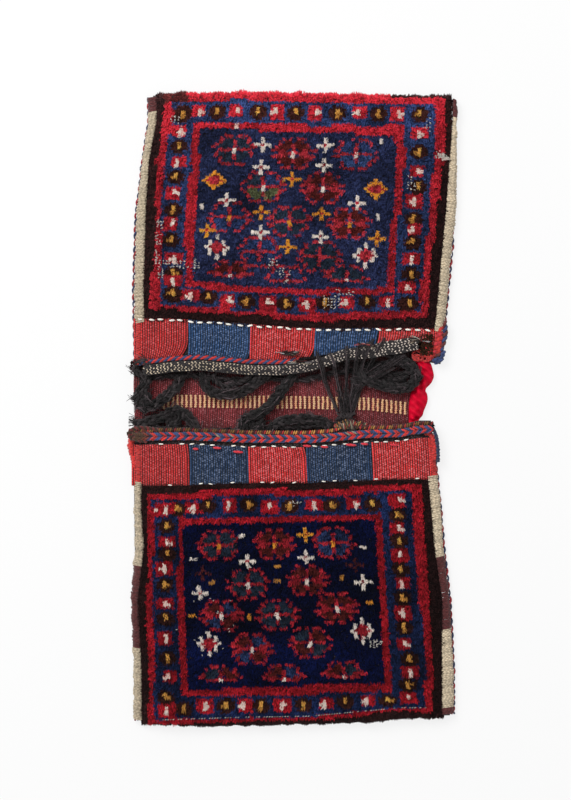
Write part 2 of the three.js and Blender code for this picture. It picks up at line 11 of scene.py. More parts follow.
import bpy
import numpy as np
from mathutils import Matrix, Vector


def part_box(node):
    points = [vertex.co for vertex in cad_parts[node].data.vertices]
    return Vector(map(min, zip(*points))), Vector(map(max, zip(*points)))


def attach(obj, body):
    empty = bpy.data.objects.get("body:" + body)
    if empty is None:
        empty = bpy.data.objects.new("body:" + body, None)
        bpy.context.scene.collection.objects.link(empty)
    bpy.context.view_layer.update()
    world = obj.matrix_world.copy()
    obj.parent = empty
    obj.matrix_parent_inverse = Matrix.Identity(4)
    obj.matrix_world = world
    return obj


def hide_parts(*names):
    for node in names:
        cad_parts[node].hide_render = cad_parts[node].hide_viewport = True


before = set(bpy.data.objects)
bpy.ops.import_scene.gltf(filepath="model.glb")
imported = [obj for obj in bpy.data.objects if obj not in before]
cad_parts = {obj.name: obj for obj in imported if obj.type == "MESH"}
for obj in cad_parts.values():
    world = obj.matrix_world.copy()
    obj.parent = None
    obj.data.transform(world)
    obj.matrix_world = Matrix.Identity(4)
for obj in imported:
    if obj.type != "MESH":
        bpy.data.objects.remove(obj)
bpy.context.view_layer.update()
MM = 0.001

# %% [markdown]
# ## Camera
# The picture was taken from straight above. A long lens keeps the sides of the bag from showing, so we use
# 100 mm and stand far enough off for one picture pixel to cover 1.2 mm of the pile.

# %% Camera
PHOTO_WIDTH, PHOTO_HEIGHT = 571, 800
PIXEL = 1.2 * MM
ORIGIN_PIXEL = (293, 410)
LENS_MM = 100
SENSOR_MM = 36
PILE_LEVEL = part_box("upper_field")[1].z


def from_photo(px, py):
    return (px - ORIGIN_PIXEL[0]) * PIXEL, (ORIGIN_PIXEL[1] - py) * PIXEL


def to_photo(x, y):
    return ORIGIN_PIXEL[0] + x / PIXEL, ORIGIN_PIXEL[1] - y / PIXEL


def photo_route(spots, height):
    return [(*from_photo(px, py), height) for px, py in spots]


def into_scene(name, data):
    thing = bpy.data.objects.new(name, data)
    bpy.context.scene.collection.objects.link(thing)
    return thing


camera_data = bpy.data.cameras.new("camera")
camera_data.lens = LENS_MM
camera_data.sensor_width = SENSOR_MM
camera = into_scene("camera", camera_data)
camera_distance = PHOTO_HEIGHT * PIXEL * LENS_MM / SENSOR_MM
camera.location = (*from_photo(PHOTO_WIDTH / 2, PHOTO_HEIGHT / 2), PILE_LEVEL + camera_distance)
bpy.context.scene.camera = camera
bpy.context.scene.view_settings.view_transform = "Standard"
print("camera stands", round(camera_distance, 3), "m above the pile")

# %% [markdown]
# ## Short words for nodes
# Node trees are long when they are written one call at a time. This small class adds a node, sets its
# options and fills its sockets in one line.

# %% A node tree with short words


class Tree:
    def __init__(self, tree):
        self.tree = tree

    def add(self, kind, sockets=None, **options):
        node = self.tree.nodes.new(kind)
        for name, value in options.items():
            setattr(node, name, value)
        for key, value in (sockets or {}).items():
            if isinstance(value, bpy.types.NodeSocket):
                self.tree.links.new(value, node.inputs[key])
            else:
                node.inputs[key].default_value = value
        return node

    def out(self, kind, sockets=None, output=0, **options):
        return self.add(kind, sockets, **options).outputs[output]

    def math(self, operation, *values):
        return self.out("ShaderNodeMath", dict(enumerate(values)), operation=operation)

    def vector(self, operation, a, b):
        return self.out("ShaderNodeVectorMath", {0: a, 1: b}, operation=operation)

    def scale(self, vector, factor):
        return self.out("ShaderNodeVectorMath", {0: vector, "Scale": factor}, operation="SCALE")


# %% Opening and closing a geometry tree


def socket_label(word):
    return word.replace("_", " ").capitalize()


def geometry_tree(name, **inputs):
    """A tree that takes a geometry, some sizes or counts with their usual values, and a material."""
    group = bpy.data.node_groups.new(name, "GeometryNodeTree")
    group.interface.new_socket("Geometry", in_out="INPUT", socket_type="NodeSocketGeometry")
    for word, value in inputs.items():
        kind = "NodeSocketInt" if isinstance(value, int) else "NodeSocketFloat"
        socket = group.interface.new_socket(socket_label(word), in_out="INPUT", socket_type=kind)
        socket.default_value = value
    group.interface.new_socket("Material", in_out="INPUT", socket_type="NodeSocketMaterial")
    group.interface.new_socket("Geometry", in_out="OUTPUT", socket_type="NodeSocketGeometry")
    tree = Tree(group)
    return tree, tree.add("NodeGroupInput").outputs


def close_tree(tree, given, geometry):
    realized = tree.out("GeometryNodeRealizeInstances", {0: geometry})
    smooth = tree.out("GeometryNodeSetShadeSmooth", {"Geometry": realized, "Shade Smooth": True})
    painted = tree.out("GeometryNodeSetMaterial", {"Geometry": smooth, "Material": given["Material"]})
    tree.add("NodeGroupOutput", {"Geometry": painted})
    return tree.tree


def named(tree, attribute, data_type="FLOAT"):
    return tree.out("GeometryNodeInputNamedAttribute", {"Name": attribute}, data_type=data_type)


def on_points(tree, given, instance, rotation, scale):
    sockets = {"Points": given["Geometry"], "Instance": instance, "Rotation": rotation, "Scale": scale}
    return tree.out("GeometryNodeInstanceOnPoints", sockets)


def store(tree, geometry, name, value):
    sockets = {"Geometry": geometry, "Name": name, "Value": value}
    return tree.out("GeometryNodeStoreNamedAttribute", sockets, data_type="FLOAT", domain="POINT")


# %% [markdown]
# ## Meshes that carry yarn
# Every tree starts from a plain mesh: loose points, polylines or a grid. Attributes on its points say what
# the yarn does there: its dye, its thickness, the way it stands. A tree then grows the yarn, and we keep
# the result as an ordinary mesh, because instances don't survive an export.

# %% Seed meshes and growing
ATTRIBUTE_KINDS = {1: ("FLOAT", "value"), 3: ("FLOAT_VECTOR", "vector"), 4: ("FLOAT_COLOR", "color")}
made_pieces = []


def seed_mesh(name, points, edges=(), faces=(), **attributes):
    mesh = bpy.data.meshes.new(name)
    mesh.from_pydata(np.asarray(points, float).tolist(), edges, faces)
    for label, values in attributes.items():
        values = np.asarray(values, np.float32)
        if label == "yarn":
            values = np.hstack([values, np.ones((len(values), 1), np.float32)])
        kind, field = ATTRIBUTE_KINDS[1 if values.ndim == 1 else values.shape[1]]
        layer = mesh.attributes.new(label, kind, "POINT")
        layer.data.foreach_set(field, values.ravel())
    return mesh


def grow(name, mesh, tree, material, wall=0.0, **inputs):
    piece = into_scene(name, mesh)
    grower = piece.modifiers.new("grow", "NODES")
    grower.node_group = tree
    sockets = {s.name: s.identifier for s in tree.interface.items_tree if s.in_out == "INPUT"}
    for word, value in inputs.items():
        grower[sockets[socket_label(word)]] = value
    grower[sockets["Material"]] = material
    if wall:
        thicken = piece.modifiers.new("wall", "SOLIDIFY")
        thicken.thickness = wall
        thicken.offset = -1
    return keep_result(piece)


def keep_result(piece):
    seed = piece.data
    depsgraph = bpy.context.evaluated_depsgraph_get()
    grown = bpy.data.meshes.new_from_object(
        piece.evaluated_get(depsgraph), preserve_all_data_layers=True, depsgraph=depsgraph)
    piece.modifiers.clear()
    piece.data = grown
    grown.name = piece.name
    bpy.data.meshes.remove(seed)
    return piece


def triangles(piece):
    return sum(len(p.vertices) - 2 for p in piece.data.polygons)


def settle(piece, slot, *nodes):
    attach(piece, "root")
    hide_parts(*nodes)
    made_pieces.append(piece)
    print(piece.name, triangles(piece), "triangles")
    return piece


# %% [markdown]
# ## Dyes
# Madder reds, indigo blues, walnut browns and undyed ivory. We write them as they look in daylight, and
# turn them into the linear values that shaders use.

# %% Dyes


def dye(red, green, blue):
    srgb = np.array([red, green, blue]) / 255
    return np.where(srgb <= 0.04045, srgb / 12.92, ((srgb + 0.055) / 1.055) ** 2.4)


DYES = {
    "red": dye(220, 50, 65),
    "brick": dye(214, 54, 50),
    "navy": dye(44, 52, 88),
    "midnight": dye(5, 14, 52),
    "royal": dye(56, 74, 122),
    "sky": dye(72, 98, 152),
    "teal": dye(52, 66, 86),
    "olive": dye(112, 120, 84),
    "walnut": dye(110, 41, 39),
    "soot": dye(57, 33, 33),
    "ivory": dye(255, 250, 240),
    "undyed": dye(196, 180, 154),
    "rose": dye(255, 196, 186),
    "orange": dye(250, 165, 60),
    "ochre": dye(196, 138, 66),
    "amber": dye(246, 180, 88),
    "maroon": dye(104, 44, 44),
    "indigo": dye(40, 58, 108),
    "umber": dye(60, 38, 22),
    "kilim_blue": dye(18, 66, 114),
    "kilim_red": dye(234, 46, 46),
    "goat": dye(40, 33, 35),
    "ash": dye(150, 138, 122),
    "bark": dye(74, 38, 34),
}
DYE_NAMES = list(DYES)
DYE_TABLE = np.array([DYES[name] for name in DYE_NAMES])
print(len(DYES), "dyes")


def dye_index(name):
    return DYE_NAMES.index(name)


def seeded(number):
    return np.random.default_rng(number)


def ripple(x, y, size, seed):
    """A smooth pattern between about -1 and 1, from a few waves with fixed directions."""
    draws = seeded(seed)
    total = np.zeros(np.broadcast(x, y).shape)
    for _ in range(5):
        angle = draws.uniform(0, 2 * math.pi)
        phase = draws.uniform(0, 2 * math.pi)
        stretch = draws.uniform(0.6, 1.6)
        wave = (x * math.cos(angle) + y * math.sin(angle)) * 2 * math.pi * stretch / size
        total = total + np.sin(wave + phase)
    return total / 3


# %% [markdown]
# ## Wool finishes
# Two shader groups do most of the work. One gives fibre: small uneven light and dark along with a fine
# height. The other gives the twist of a spun yarn, from how far along and how far round the strand a point
# is: a height, and painted shade that darkens the grooves between the turns.

# %% Fibre and twist groups


def shader_group(name, *values):
    """A group that takes a colour and some values, and puts out a colour and a height."""
    group = bpy.data.node_groups.new(name, "ShaderNodeTree")
    group.interface.new_socket("Colour", in_out="INPUT", socket_type="NodeSocketColor")
    for label in values:
        group.interface.new_socket(label, in_out="INPUT", socket_type="NodeSocketFloat")
    group.interface.new_socket("Colour", in_out="OUTPUT", socket_type="NodeSocketColor")
    group.interface.new_socket("Height", in_out="OUTPUT", socket_type="NodeSocketFloat")
    tree = Tree(group)
    return tree, tree.add("NodeGroupInput").outputs


def fibre_group():
    tree, given = shader_group("wool fibre", "Scale", "Contrast")
    where = tree.out("ShaderNodeTexCoord", output="Object")
    noise = tree.out("ShaderNodeTexNoise", {"Vector": where, "Scale": given["Scale"], "Detail": 3.0})
    swing = tree.math("MULTIPLY", tree.math("SUBTRACT", noise, 0.5), given["Contrast"])
    shade = tree.scale(given["Colour"], tree.math("ADD", swing, 1.0))
    tree.add("NodeGroupOutput", {"Colour": shade, "Height": noise})
    return tree.tree


def twist_group():
    tree, given = shader_group("yarn twist", "Turns", "Run", "Turn")
    phase = tree.math("ADD", tree.math("MULTIPLY", given["Run"], given["Turns"]), given["Turn"])
    wave = tree.math("SINE", tree.math("MULTIPLY", phase, 2 * math.pi))
    height = tree.math("MULTIPLY_ADD", wave, 0.5, 0.5)
    # painted shade: the dye is darker in the grooves of the twist and lighter on its crests
    lit = tree.math("MULTIPLY_ADD", height, 0.45, 0.72)
    tree.add("NodeGroupOutput", {"Colour": tree.scale(given["Colour"], lit), "Height": height})
    return tree.tree


FIBRE = fibre_group()
TWIST = twist_group()
print("shader groups:", FIBRE.name, "/", TWIST.name)

# %% Pile, yarn and hair finishes


def finish_material(name, roughness, sheen, specular=0.25):
    material = bpy.data.materials.new(name)
    material.use_nodes = True
    shader = material.node_tree.nodes["Principled BSDF"]
    values = {"Roughness": roughness, "Specular IOR Level": specular, "Sheen Weight": sheen}
    values["Sheen Roughness"] = 0.6
    for socket, value in values.items():
        shader.inputs[socket].default_value = value
    return material, Tree(material.node_tree), shader


def attribute(tree, name, output="Fac"):
    return tree.out("ShaderNodeAttribute", output=output, attribute_name=name)


def yarn_dye(tree):
    return attribute(tree, "yarn", "Color")


def add_fibre(tree, colour, scale, contrast):
    sockets = {"Colour": colour, "Scale": scale, "Contrast": contrast}
    return tree.add("ShaderNodeGroup", sockets, node_tree=FIBRE)


def dress(tree, shader, surface, bump_depth):
    """Give a shader the colour that a group puts out, and the group's height as a bump."""
    height = surface.outputs["Height"]
    bump = tree.out("ShaderNodeBump", {"Height": height, "Distance": bump_depth, "Strength": 0.8})
    tree.tree.links.new(surface.outputs["Colour"], shader.inputs["Base Color"])
    tree.tree.links.new(bump, shader.inputs["Normal"])


def pile_finish():
    """Painted shade: tufts are dark where they are bound to the ground and bright at their cut tips."""
    material, tree, shader = finish_material("knotted wool pile", 0.9, 0.04, specular=0.12)
    # painted shade: the dye darkens from tip to root, where the tufts shade each other
    depth = tree.math("MULTIPLY_ADD", attribute(tree, "rise"), 0.8, 0.35)
    colour = tree.scale(yarn_dye(tree), depth)
    colour = tree.vector("MINIMUM", colour, (0.96, 0.86, 0.78))
    dress(tree, shader, add_fibre(tree, colour, 900, 0.5), 0.4 * MM)
    return material


def yarn_finish(name, turns, roughness, sheen, contrast):
    """Spun and plied yarn: the dye comes from the strand, the twist and its painted shade from where the
    point is on it.
    """
    material, tree, shader = finish_material(name, roughness, sheen)
    fibre = add_fibre(tree, yarn_dye(tree), 700, contrast)
    sockets = {"Colour": fibre.outputs["Colour"], "Turns": turns}
    sockets.update(Run=attribute(tree, "run"), Turn=attribute(tree, "turn"))
    dress(tree, shader, tree.add("ShaderNodeGroup", sockets, node_tree=TWIST), 0.5 * MM)
    return material


PILE = pile_finish()
YARN = yarn_finish("spun wool yarn", turns=220.0, roughness=0.8, sheen=0.2, contrast=0.4)
GOAT = yarn_finish("goat hair", turns=160.0, roughness=0.6, sheen=0.1, contrast=1.2)
print("finishes:", PILE.name, "/", YARN.name, "/", GOAT.name)

# %% [markdown]
# ## Where the cloth lies
# The bag has stretched and slipped in use: each pouch is a little wider in its middle, leans to one side,
# and its tapestry is sewn on a slant. One function places any point of a pouch from how far across and how
# far along the cloth it is. Short lists of distances add where the braids draw up the lips.

# %% Cloth sizes and placing
CLOTH = 3 * MM
POCKET_GAP = 8 * MM
SIDE_GAP = 0.6 * MM
SHOULDER = 20.5 * MM
HALF_WIDTH = 184.7 * MM
BRIDGE_LENGTH = 103 * MM
BRIDGE_MIDDLE = 7 * MM
BRIDGE_TUCK = 22 * MM
LIP_LIFT_AT = 130 * MM
LIP_LIFT_REACH = 95 * MM
CLEARANCE = 0.3 * MM
TRIM_FLOOR = CLOTH + POCKET_GAP + CLEARANCE
BRIDGE_TOP = CLOTH + CLEARANCE
FRONT_TOP = 2 * CLOTH + POCKET_GAP

UPPER = SimpleNamespace(
    name="upper", side=1, depth=319.4 * MM, kilim=40 * MM, lift=26.96 * MM, slant=-20 * MM,
    stretch=(-2 * MM, 5 * MM, -9 * MM), shift=(-5 * MM, 1.5 * MM, 11.5 * MM))
LOWER = SimpleNamespace(
    name="lower", side=-1, depth=333.4 * MM, kilim=52 * MM, lift=0.0, slant=10 * MM,
    stretch=(-10 * MM, -1 * MM, 3 * MM), shift=(-12 * MM, -5.5 * MM, 3.5 * MM))
UPPER.lip_at = np.array([-188, -143, -107, -47, -11, 13, 49, 67, 100, 133, 151, 160, 173, 188]) * MM
UPPER.lip_drawn = np.array([-1, 5.7, 7.5, 2.1, 1.5, 4.5, 7.3, 7.8, -3.2, -3.9, 4.6, 3, -12, 6]) * MM
LOWER.lip_at = np.array([-178, -118, -46, 24, 68, 102, 140, 170]) * MM
LOWER.lip_drawn = np.array([3.1, 3.7, 0.7, 0, 2.4, 6, 6.7, 11.5]) * MM
UPPER.fold_at = np.array([-170, -52, 20, 92, 176]) * MM
UPPER.fold_drawn = np.array([1.8, 3.6, 1.8, 0, -0.6]) * MM
LOWER.fold_at = np.array([-170, -100, 0, 92, 112, 150, 180]) * MM
LOWER.fold_drawn = np.array([-1, 2, -1, -3, -7, -9, -9]) * MM
POUCHES = (UPPER, LOWER)
print("upper pouch", UPPER.depth, "m deep, lower", LOWER.depth, "m")

# %% Placing points on the cloth


def quadratic(three, share):
    first, middle, last = three
    bend = 2 * (first + last - 2 * middle)
    return first + (last - first - bend) * share + bend * share * share


def place(bag, across, along, lifted=1.0):
    share = along / bag.depth
    x = quadratic(bag.shift, share) + across * (1 + quadratic(bag.stretch, share) / (2 * HALF_WIDTH))
    ramp = np.minimum(along / bag.kilim, (bag.depth - along) / (bag.depth - bag.kilim))
    reach = np.clip((across - LIP_LIFT_AT) / LIP_LIFT_REACH, -1, 1)
    lift = bag.lift * np.cos(reach * math.pi / 2) ** 2 + np.interp(across, bag.lip_at, bag.lip_drawn)
    lift = lift * np.maximum(0, 1 - along / bag.kilim) * lifted
    lip = BRIDGE_MIDDLE + bag.side * BRIDGE_LENGTH / 2
    fold = np.interp(across, bag.fold_at, bag.fold_drawn) * np.clip(8 * share - 7, 0, 1)
    return x, lip + bag.side * (along + fold) + bag.slant * ramp * across / (2 * HALF_WIDTH) + lift


def pocket_gap(across):
    return SIDE_GAP + (POCKET_GAP - SIDE_GAP) * np.clip((HALF_WIDTH - np.abs(across)) / SHOULDER, 0, 1)


def swell(x, y):
    """The soft ups and downs of cloth that lies slack."""
    return 0.9 * MM * ripple(x, y, 150 * MM, 3) + 0.4 * MM * ripple(x, y, 60 * MM, 4)


def on_pouch(bag, across, run, height=0.0):
    """A point at a height above the outside of a pouch: run goes from the lip over the fold to the back."""
    across, run = np.broadcast_arrays(np.asarray(across, float), np.asarray(run, float))
    outer = CLOTH + pocket_gap(across) / 2
    turn_at = bag.depth - outer
    angle = np.clip((run - turn_at) / outer, 0, math.pi)
    beyond = np.maximum(run - turn_at - math.pi * outer, 0)
    along = np.where(run <= turn_at, run, turn_at + (outer + height) * np.sin(angle) - beyond)
    front = np.clip(np.cos(angle), 0, 1)
    x, y = place(bag, across, along, np.where(angle < math.pi / 2, 1.0, 0.0))
    slack = swell(x, y) * front * np.clip(pocket_gap(across) / POCKET_GAP, 0, 1)
    z = outer + (outer + height) * np.cos(angle) + slack
    return np.stack([x, y, z], -1)


def standing(bag, across, run):
    step = 1 * MM
    return (on_pouch(bag, across, run, step) - on_pouch(bag, across, run)) / step


print("the upper fold is at", on_pouch(UPPER, 0.0, UPPER.depth).round(3))

# %% [markdown]
# ## Strands
# A strand is a tube along a line of points: a hair plait, a tie, a twisted cord, a wrapped edge. The lines
# are worked out in plain Python. One tree turns them into tubes and notes how far along and how far round
# each point is, which the twist of the yarn needs.

# %% The strand tree


def strand_tree():
    tree, given = geometry_tree("strands", sides=6)
    curves = tree.out("GeometryNodeMeshToCurve", {"Mesh": given["Geometry"]})
    length = tree.out("GeometryNodeSplineParameter", output="Length")
    curves = store(tree, curves, "run", tree.math("ADD", length, named(tree, "start")))
    ring = tree.out("GeometryNodeCurvePrimitiveCircle", {"Resolution": given["Sides"], "Radius": 1.0})
    ring = store(tree, ring, "turn", tree.out("GeometryNodeSplineParameter", output="Factor"))
    sockets = {"Curve": curves, "Profile Curve": ring, "Scale": named(tree, "thick"), "Fill Caps": True}
    return close_tree(tree, given, tree.out("GeometryNodeCurveToMesh", sockets))


STRANDS = strand_tree()
print("the strand tree has", len(STRANDS.nodes), "nodes")


def strand_mesh(name, strands):
    """Strands are (points, dye, radius), where the dye and the radius may change along the points."""
    draws = seeded(len(strands))
    points, edges, yarn, thick, start = [], [], [], [], []
    first = 0
    for line, colour, radius in strands:
        count = len(line)
        points.append(line)
        yarn.append(np.broadcast_to(colour, (count, 3)))
        thick.append(np.broadcast_to(radius, count))
        start.append(np.full(count, draws.uniform(0, 10 * MM)))
        edges.extend((first + i, first + i + 1) for i in range(count - 1))
        first += count
    return seed_mesh(name, np.vstack(points), edges, yarn=np.vstack(yarn), thick=np.concatenate(thick),
                     start=np.concatenate(start))


def strand_piece(name, strands, material, sides, slot, *nodes):
    mesh = strand_mesh(name + " lines", strands)
    return settle(grow(name, mesh, STRANDS, material, sides=sides), slot, *nodes)


# %% Paths for strands


def smooth_path(points, step):
    """A Catmull-Rom curve through the points, sampled evenly."""
    points = np.asarray(points, float)
    padded = np.vstack([2 * points[0] - points[1], points, 2 * points[-1] - points[-2]])
    share = np.linspace(0, 1, 12, endpoint=False)[:, None]
    runs = []
    for a, b, c, d in zip(padded, padded[1:], padded[2:], padded[3:]):
        square, cube = (2 * a - 5 * b + 4 * c - d) * share ** 2, (3 * b - a - 3 * c + d) * share ** 3
        runs.append(0.5 * (2 * b + (c - a) * share + square + cube))
    fine = np.vstack([*runs, points[-1:]])
    return even_path(fine, step)


def even_path(fine, step):
    lengths = np.concatenate([[0], np.cumsum(np.linalg.norm(np.diff(fine, axis=0), axis=1))])
    stations = np.linspace(0, lengths[-1], max(4, round(lengths[-1] / step) + 1))
    return np.stack([np.interp(stations, lengths, fine[:, i]) for i in range(3)], -1)


def path_length(path):
    return float(np.linalg.norm(np.diff(path, axis=0), axis=1).sum())


def path_frame(path):
    """Run, and the forward, sideways and upward directions along a path."""
    run = np.concatenate([[0], np.cumsum(np.linalg.norm(np.diff(path, axis=0), axis=1))])
    forward = np.gradient(path, axis=0)
    forward /= np.linalg.norm(forward, axis=1, keepdims=True)
    sideways = np.cross([0, 0, 1], forward)
    sideways /= np.linalg.norm(sideways, axis=1, keepdims=True)
    upward = np.cross(forward, sideways)
    return SimpleNamespace(path=path, run=run, forward=forward, side=sideways, up=upward)


# %% [markdown]
# ## Goat hair loops
# Thick loops of plaited goat hair stand along both mouths. On bags of this kind the loops of one mouth pass
# through slits in the other and through each other to close it. Each loop is a plait of three strands, and
# each strand has three yarns. The ends flatten and tuck under the braid that they are sewn to. Goat hair
# never spins smooth, so short locks of loose hair stand out all over.

# %% Routes of the loops
LOOP_RADIUS = 7.3 * MM
LOOP_LOW = BRIDGE_TOP + LOOP_RADIUS
LOOP_ON_BROCADE = LOOP_LOW + 1.1 * MM
LOOP_ON_BINDING = LOOP_LOW + 3.3 * MM
TUCK_HEIGHT = 7.5 * MM
PLAIT_PITCH = 27 * MM
LOOP_STEP = 2.5 * MM
FLAT_END = 14 * MM
HAIR = 0.3 * MM
HAIR_LENGTH = 9 * MM
LOCK = 4

LOOPS = {
    "left_mouth_loop": (LOOP_ON_BROCADE, (-177, 43), (-132, 43), [
        (-180, 28), (-184, 22), (-187, 14), (-184, 6), (-176, 3), (-165, 7), (-155, 15), (-145, 23),
        (-137, 32)]),
    "middle_mouth_loop": (LOOP_ON_BROCADE, (-108, 45), (-28, 46), [
        (-107, 34), (-103, 26), (-93, 20), (-80, 19), (-66, 21), (-55, 25), (-46, 32), (-37, 39)]),
    "long_mouth_loop": (LOOP_ON_BROCADE, (2, 46), (-55, -31), [
        (-3, 37), (-10, 28), (-18, 17), (-27, 7), (-37, -2), (-49, -7), (-58, -12), (-60, -20)]),
    "lower_left_loop": (LOOP_LOW, (-185, -30), (-112, -33), [
        (-184, -20), (-176, -14), (-165, -12), (-154, -7), (-146, -2), (-137, -1), (-129, -6), (-123, -14),
        (-116, -22)]),
    "lower_middle_loop": (LOOP_LOW, (-26, -35), (45, -35), [
        (-24, -21), (-17, -15), (-5, -12), (10, -11), (25, -12), (37, -15), (43, -21)]),
    "right_mouth_loop": (LOOP_ON_BINDING, (116, 63), (74, 45), [
        (129, 60), (140, 54), (147, 46), (147, 37), (141, 29), (130, 26), (116, 27), (102, 31), (89, 37)]),
}


def loop_path(height, first_tuck, last_tuck, plan):
    middle = [(x * MM, y * MM, height) for x, y in plan]
    ends = [(x * MM, y * MM, TUCK_HEIGHT) for x, y in (first_tuck, last_tuck)]
    return smooth_path([ends[0], *middle, ends[1]], LOOP_STEP)


print(len(LOOPS), "loops")

# %% Plaits and locks of hair


def plait(path, radius, pitch, draws):
    """Three strands of three yarns that cross over and under each other along a path."""
    at = path_frame(path)
    flat = 0.55 + 0.45 * np.clip(np.minimum(at.run, at.run[-1] - at.run) / FLAT_END, 0, 1)
    out = 0.24 * radius
    strands = []
    for strand in range(3):
        phase = 2 * math.pi * (at.run / pitch + strand / 3)
        side = 0.5 * radius * np.sin(phase)
        up = 0.26 * radius * np.sin(2 * phase)
        for yarn in range(3):
            turn = 2 * math.pi * (at.run / (0.8 * pitch) + yarn / 3)
            wander = 0.04 * radius * draws.normal(size=(len(path), 2))
            sideways = (side + out * np.cos(turn) + wander[:, 0]) * flat
            upwards = (up + out * np.sin(turn) + wander[:, 1]) * flat
            line = path + at.side * sideways[:, None] + at.up * upwards[:, None]
            strands.append((line, DYES["goat"] * draws.uniform(0.4, 1.2) ** 2, 0.25 * radius * flat))
    return strands


def stray_hairs(path, count, reach, length, draws, names=("goat",)):
    """Locks of a few hairs that leave a rope on all sides and bend back along it."""
    at = path_frame(path)
    share = np.linspace(0, 1, 4)[:, None]
    hairs = []
    for _ in range(count // LOCK):
        spot = draws.integers(1, len(path) - 1)
        turn = draws.uniform(-0.4, math.pi + 0.4)
        out = at.side[spot] * math.cos(turn) + at.up[spot] * math.sin(turn)
        along = at.forward[spot] * draws.choice([-1, 1]) + draws.normal(0, 0.2, 3)
        # a few locks are much lighter: partly grey hair, partly painted glints
        colour = np.minimum(DYES[draws.choice(names)] * (0.15 + 9 * draws.random() ** 4), 0.8)
        for _ in range(LOCK):
            long = length * draws.uniform(0.5, 1.2)
            away = out * (0.9 * reach + long * draws.uniform(0.05, 0.35) * share ** 0.7)
            root = path[spot] + draws.normal(0, 0.45, 3) * MM
            hairs.append((root + away + along * long * share, colour, HAIR))
    return hairs


# %% Plaited loops
loop_hairs = []
for index, (name, (height, first, last, plan)) in enumerate(LOOPS.items()):
    path = loop_path(height, first, last, plan)
    yarns = plait(path, LOOP_RADIUS, PLAIT_PITCH, seeded(20 + index))
    loop = strand_piece(name + "_plait", yarns, GOAT, 6, "goat_hair", name)
    count = round(path_length(path) / (0.35 * MM))
    loop_hairs += stray_hairs(path, count, 0.75 * LOOP_RADIUS, HAIR_LENGTH, seeded(30 + index))
strand_piece("loop_fuzz", loop_hairs, GOAT, 3, "goat_hair")

# %% [markdown]
# ## Hair ropes along the mouths
# Between the loops the same hair runs along each mouth as a thinner rope, sewn to the edge of the braid.
# Two plies twist round each other, and stray hairs stand out all over it. Where a rope was rolled up at the
# end of a loop, the same two plies follow a flat spiral.

# %% Sewn ropes
COIL_POINTS = 20
COIL_RADIUS = 4.2 * MM
ROPE_PITCH = 14 * MM
ROPE_STEP = 2.2 * MM


def coil(px, py, first, last, turns):
    """A flat spiral round a place in the picture, from one radius in pixels to another."""
    turn = np.linspace(0, 2 * math.pi * turns, COIL_POINTS)
    out = np.linspace(first, last, COIL_POINTS)
    return np.stack([px + out * np.cos(turn), py + out * np.sin(turn)], -1)


ROPES = {
    "left_coil": (COIL_RADIUS, LOOP_ON_BROCADE + 1.5 * MM, coil(141.5, 398, 2, 7.5, 2.3)),
    "lower_left_coil": (COIL_RADIUS, LOOP_LOW - 1 * MM, coil(172, 420, 2, 6.5, 2.2)),
    "long_loop_coil": (COIL_RADIUS, LOOP_LOW, coil(256, 421.5, 3, 8, 1.8)),
    "left_end_rope": (3.4 * MM, TRIM_FLOOR + 4 * MM, [
        (152, 366), (145, 362), (138, 362.5), (134.5, 367.5), (138, 373), (144, 376), (147, 383)]),
    "right_middle_rope": (5 * MM, BRIDGE_TOP + 6 * MM, [
        (352, 381), (366, 382.5), (380, 381.5), (393, 380.5), (402, 379), (408, 375)]),
    "upper_hair_rope": (3 * MM, BRIDGE_TOP + 3 * MM, [
        (132, 368), (140, 376), (165, 376), (190, 375), (205, 377), (235, 380), (262, 379), (285, 379),
        (300, 380), (320, 376), (335, 372), (345, 372), (362, 368), (380, 364), (398, 360)]),
    "middle_inner_rope": (3.6 * MM, BRIDGE_TOP + 7 * MM, [
        (213, 374), (215, 380), (221, 385), (230, 386), (240, 383), (247, 378), (252, 373)]),
    "right_inner_rope": (4 * MM, BRIDGE_TOP + 7 * MM, [
        (358, 376), (370, 376), (385, 376), (398, 374), (407, 373), (410, 368), (402, 365)]),
    "lower_hair_rope": (2.8 * MM, BRIDGE_TOP + 5 * MM, [
        (132, 422), (142, 426), (165, 429), (190, 430), (210, 430.5), (240, 430), (262, 429), (290, 428),
        (310, 427), (330, 425), (345, 421), (358, 424)]),
}


def two_ply(path, radius, pitch, colours, draws):
    at = path_frame(path)
    strands = []
    for ply, colour in enumerate(colours):
        turn = (2 * math.pi * at.run / pitch + math.pi * ply)[:, None]
        swing = 0.5 * radius * (np.cos(turn) * at.side + np.sin(turn) * at.up)
        strands.append((path + swing + draws.normal(0, 0.08, path.shape) * radius, colour, 0.55 * radius))
    return strands


rope_plies, rope_hairs = [], []
draws = seeded(45)
for name, (radius, height, route) in ROPES.items():
    path = smooth_path(photo_route(route, height), ROPE_STEP)
    shade = DYES["goat"] * (0.4 if name.endswith("coil") else 0.7)
    rope_plies += two_ply(path, radius, ROPE_PITCH, (shade, shade * 1.6), draws)
    count = round(path_length(path) / (0.45 * MM))
    rope_hairs += stray_hairs(path, count, 0.8 * radius, HAIR_LENGTH, draws)
strand_piece("mouth_ropes", rope_plies, GOAT, 5, "goat_hair")
strand_piece("rope_fuzz", rope_hairs, GOAT, 3, "goat_hair")

# %% [markdown]
# ## Tie yarns
# A bunch of hair yarns is whipped together on the bridge and fans out over the upper mouth, where it ties
# the bag shut. Each yarn is loose by now, so it is drawn as a few thin ends that wander beside each other.

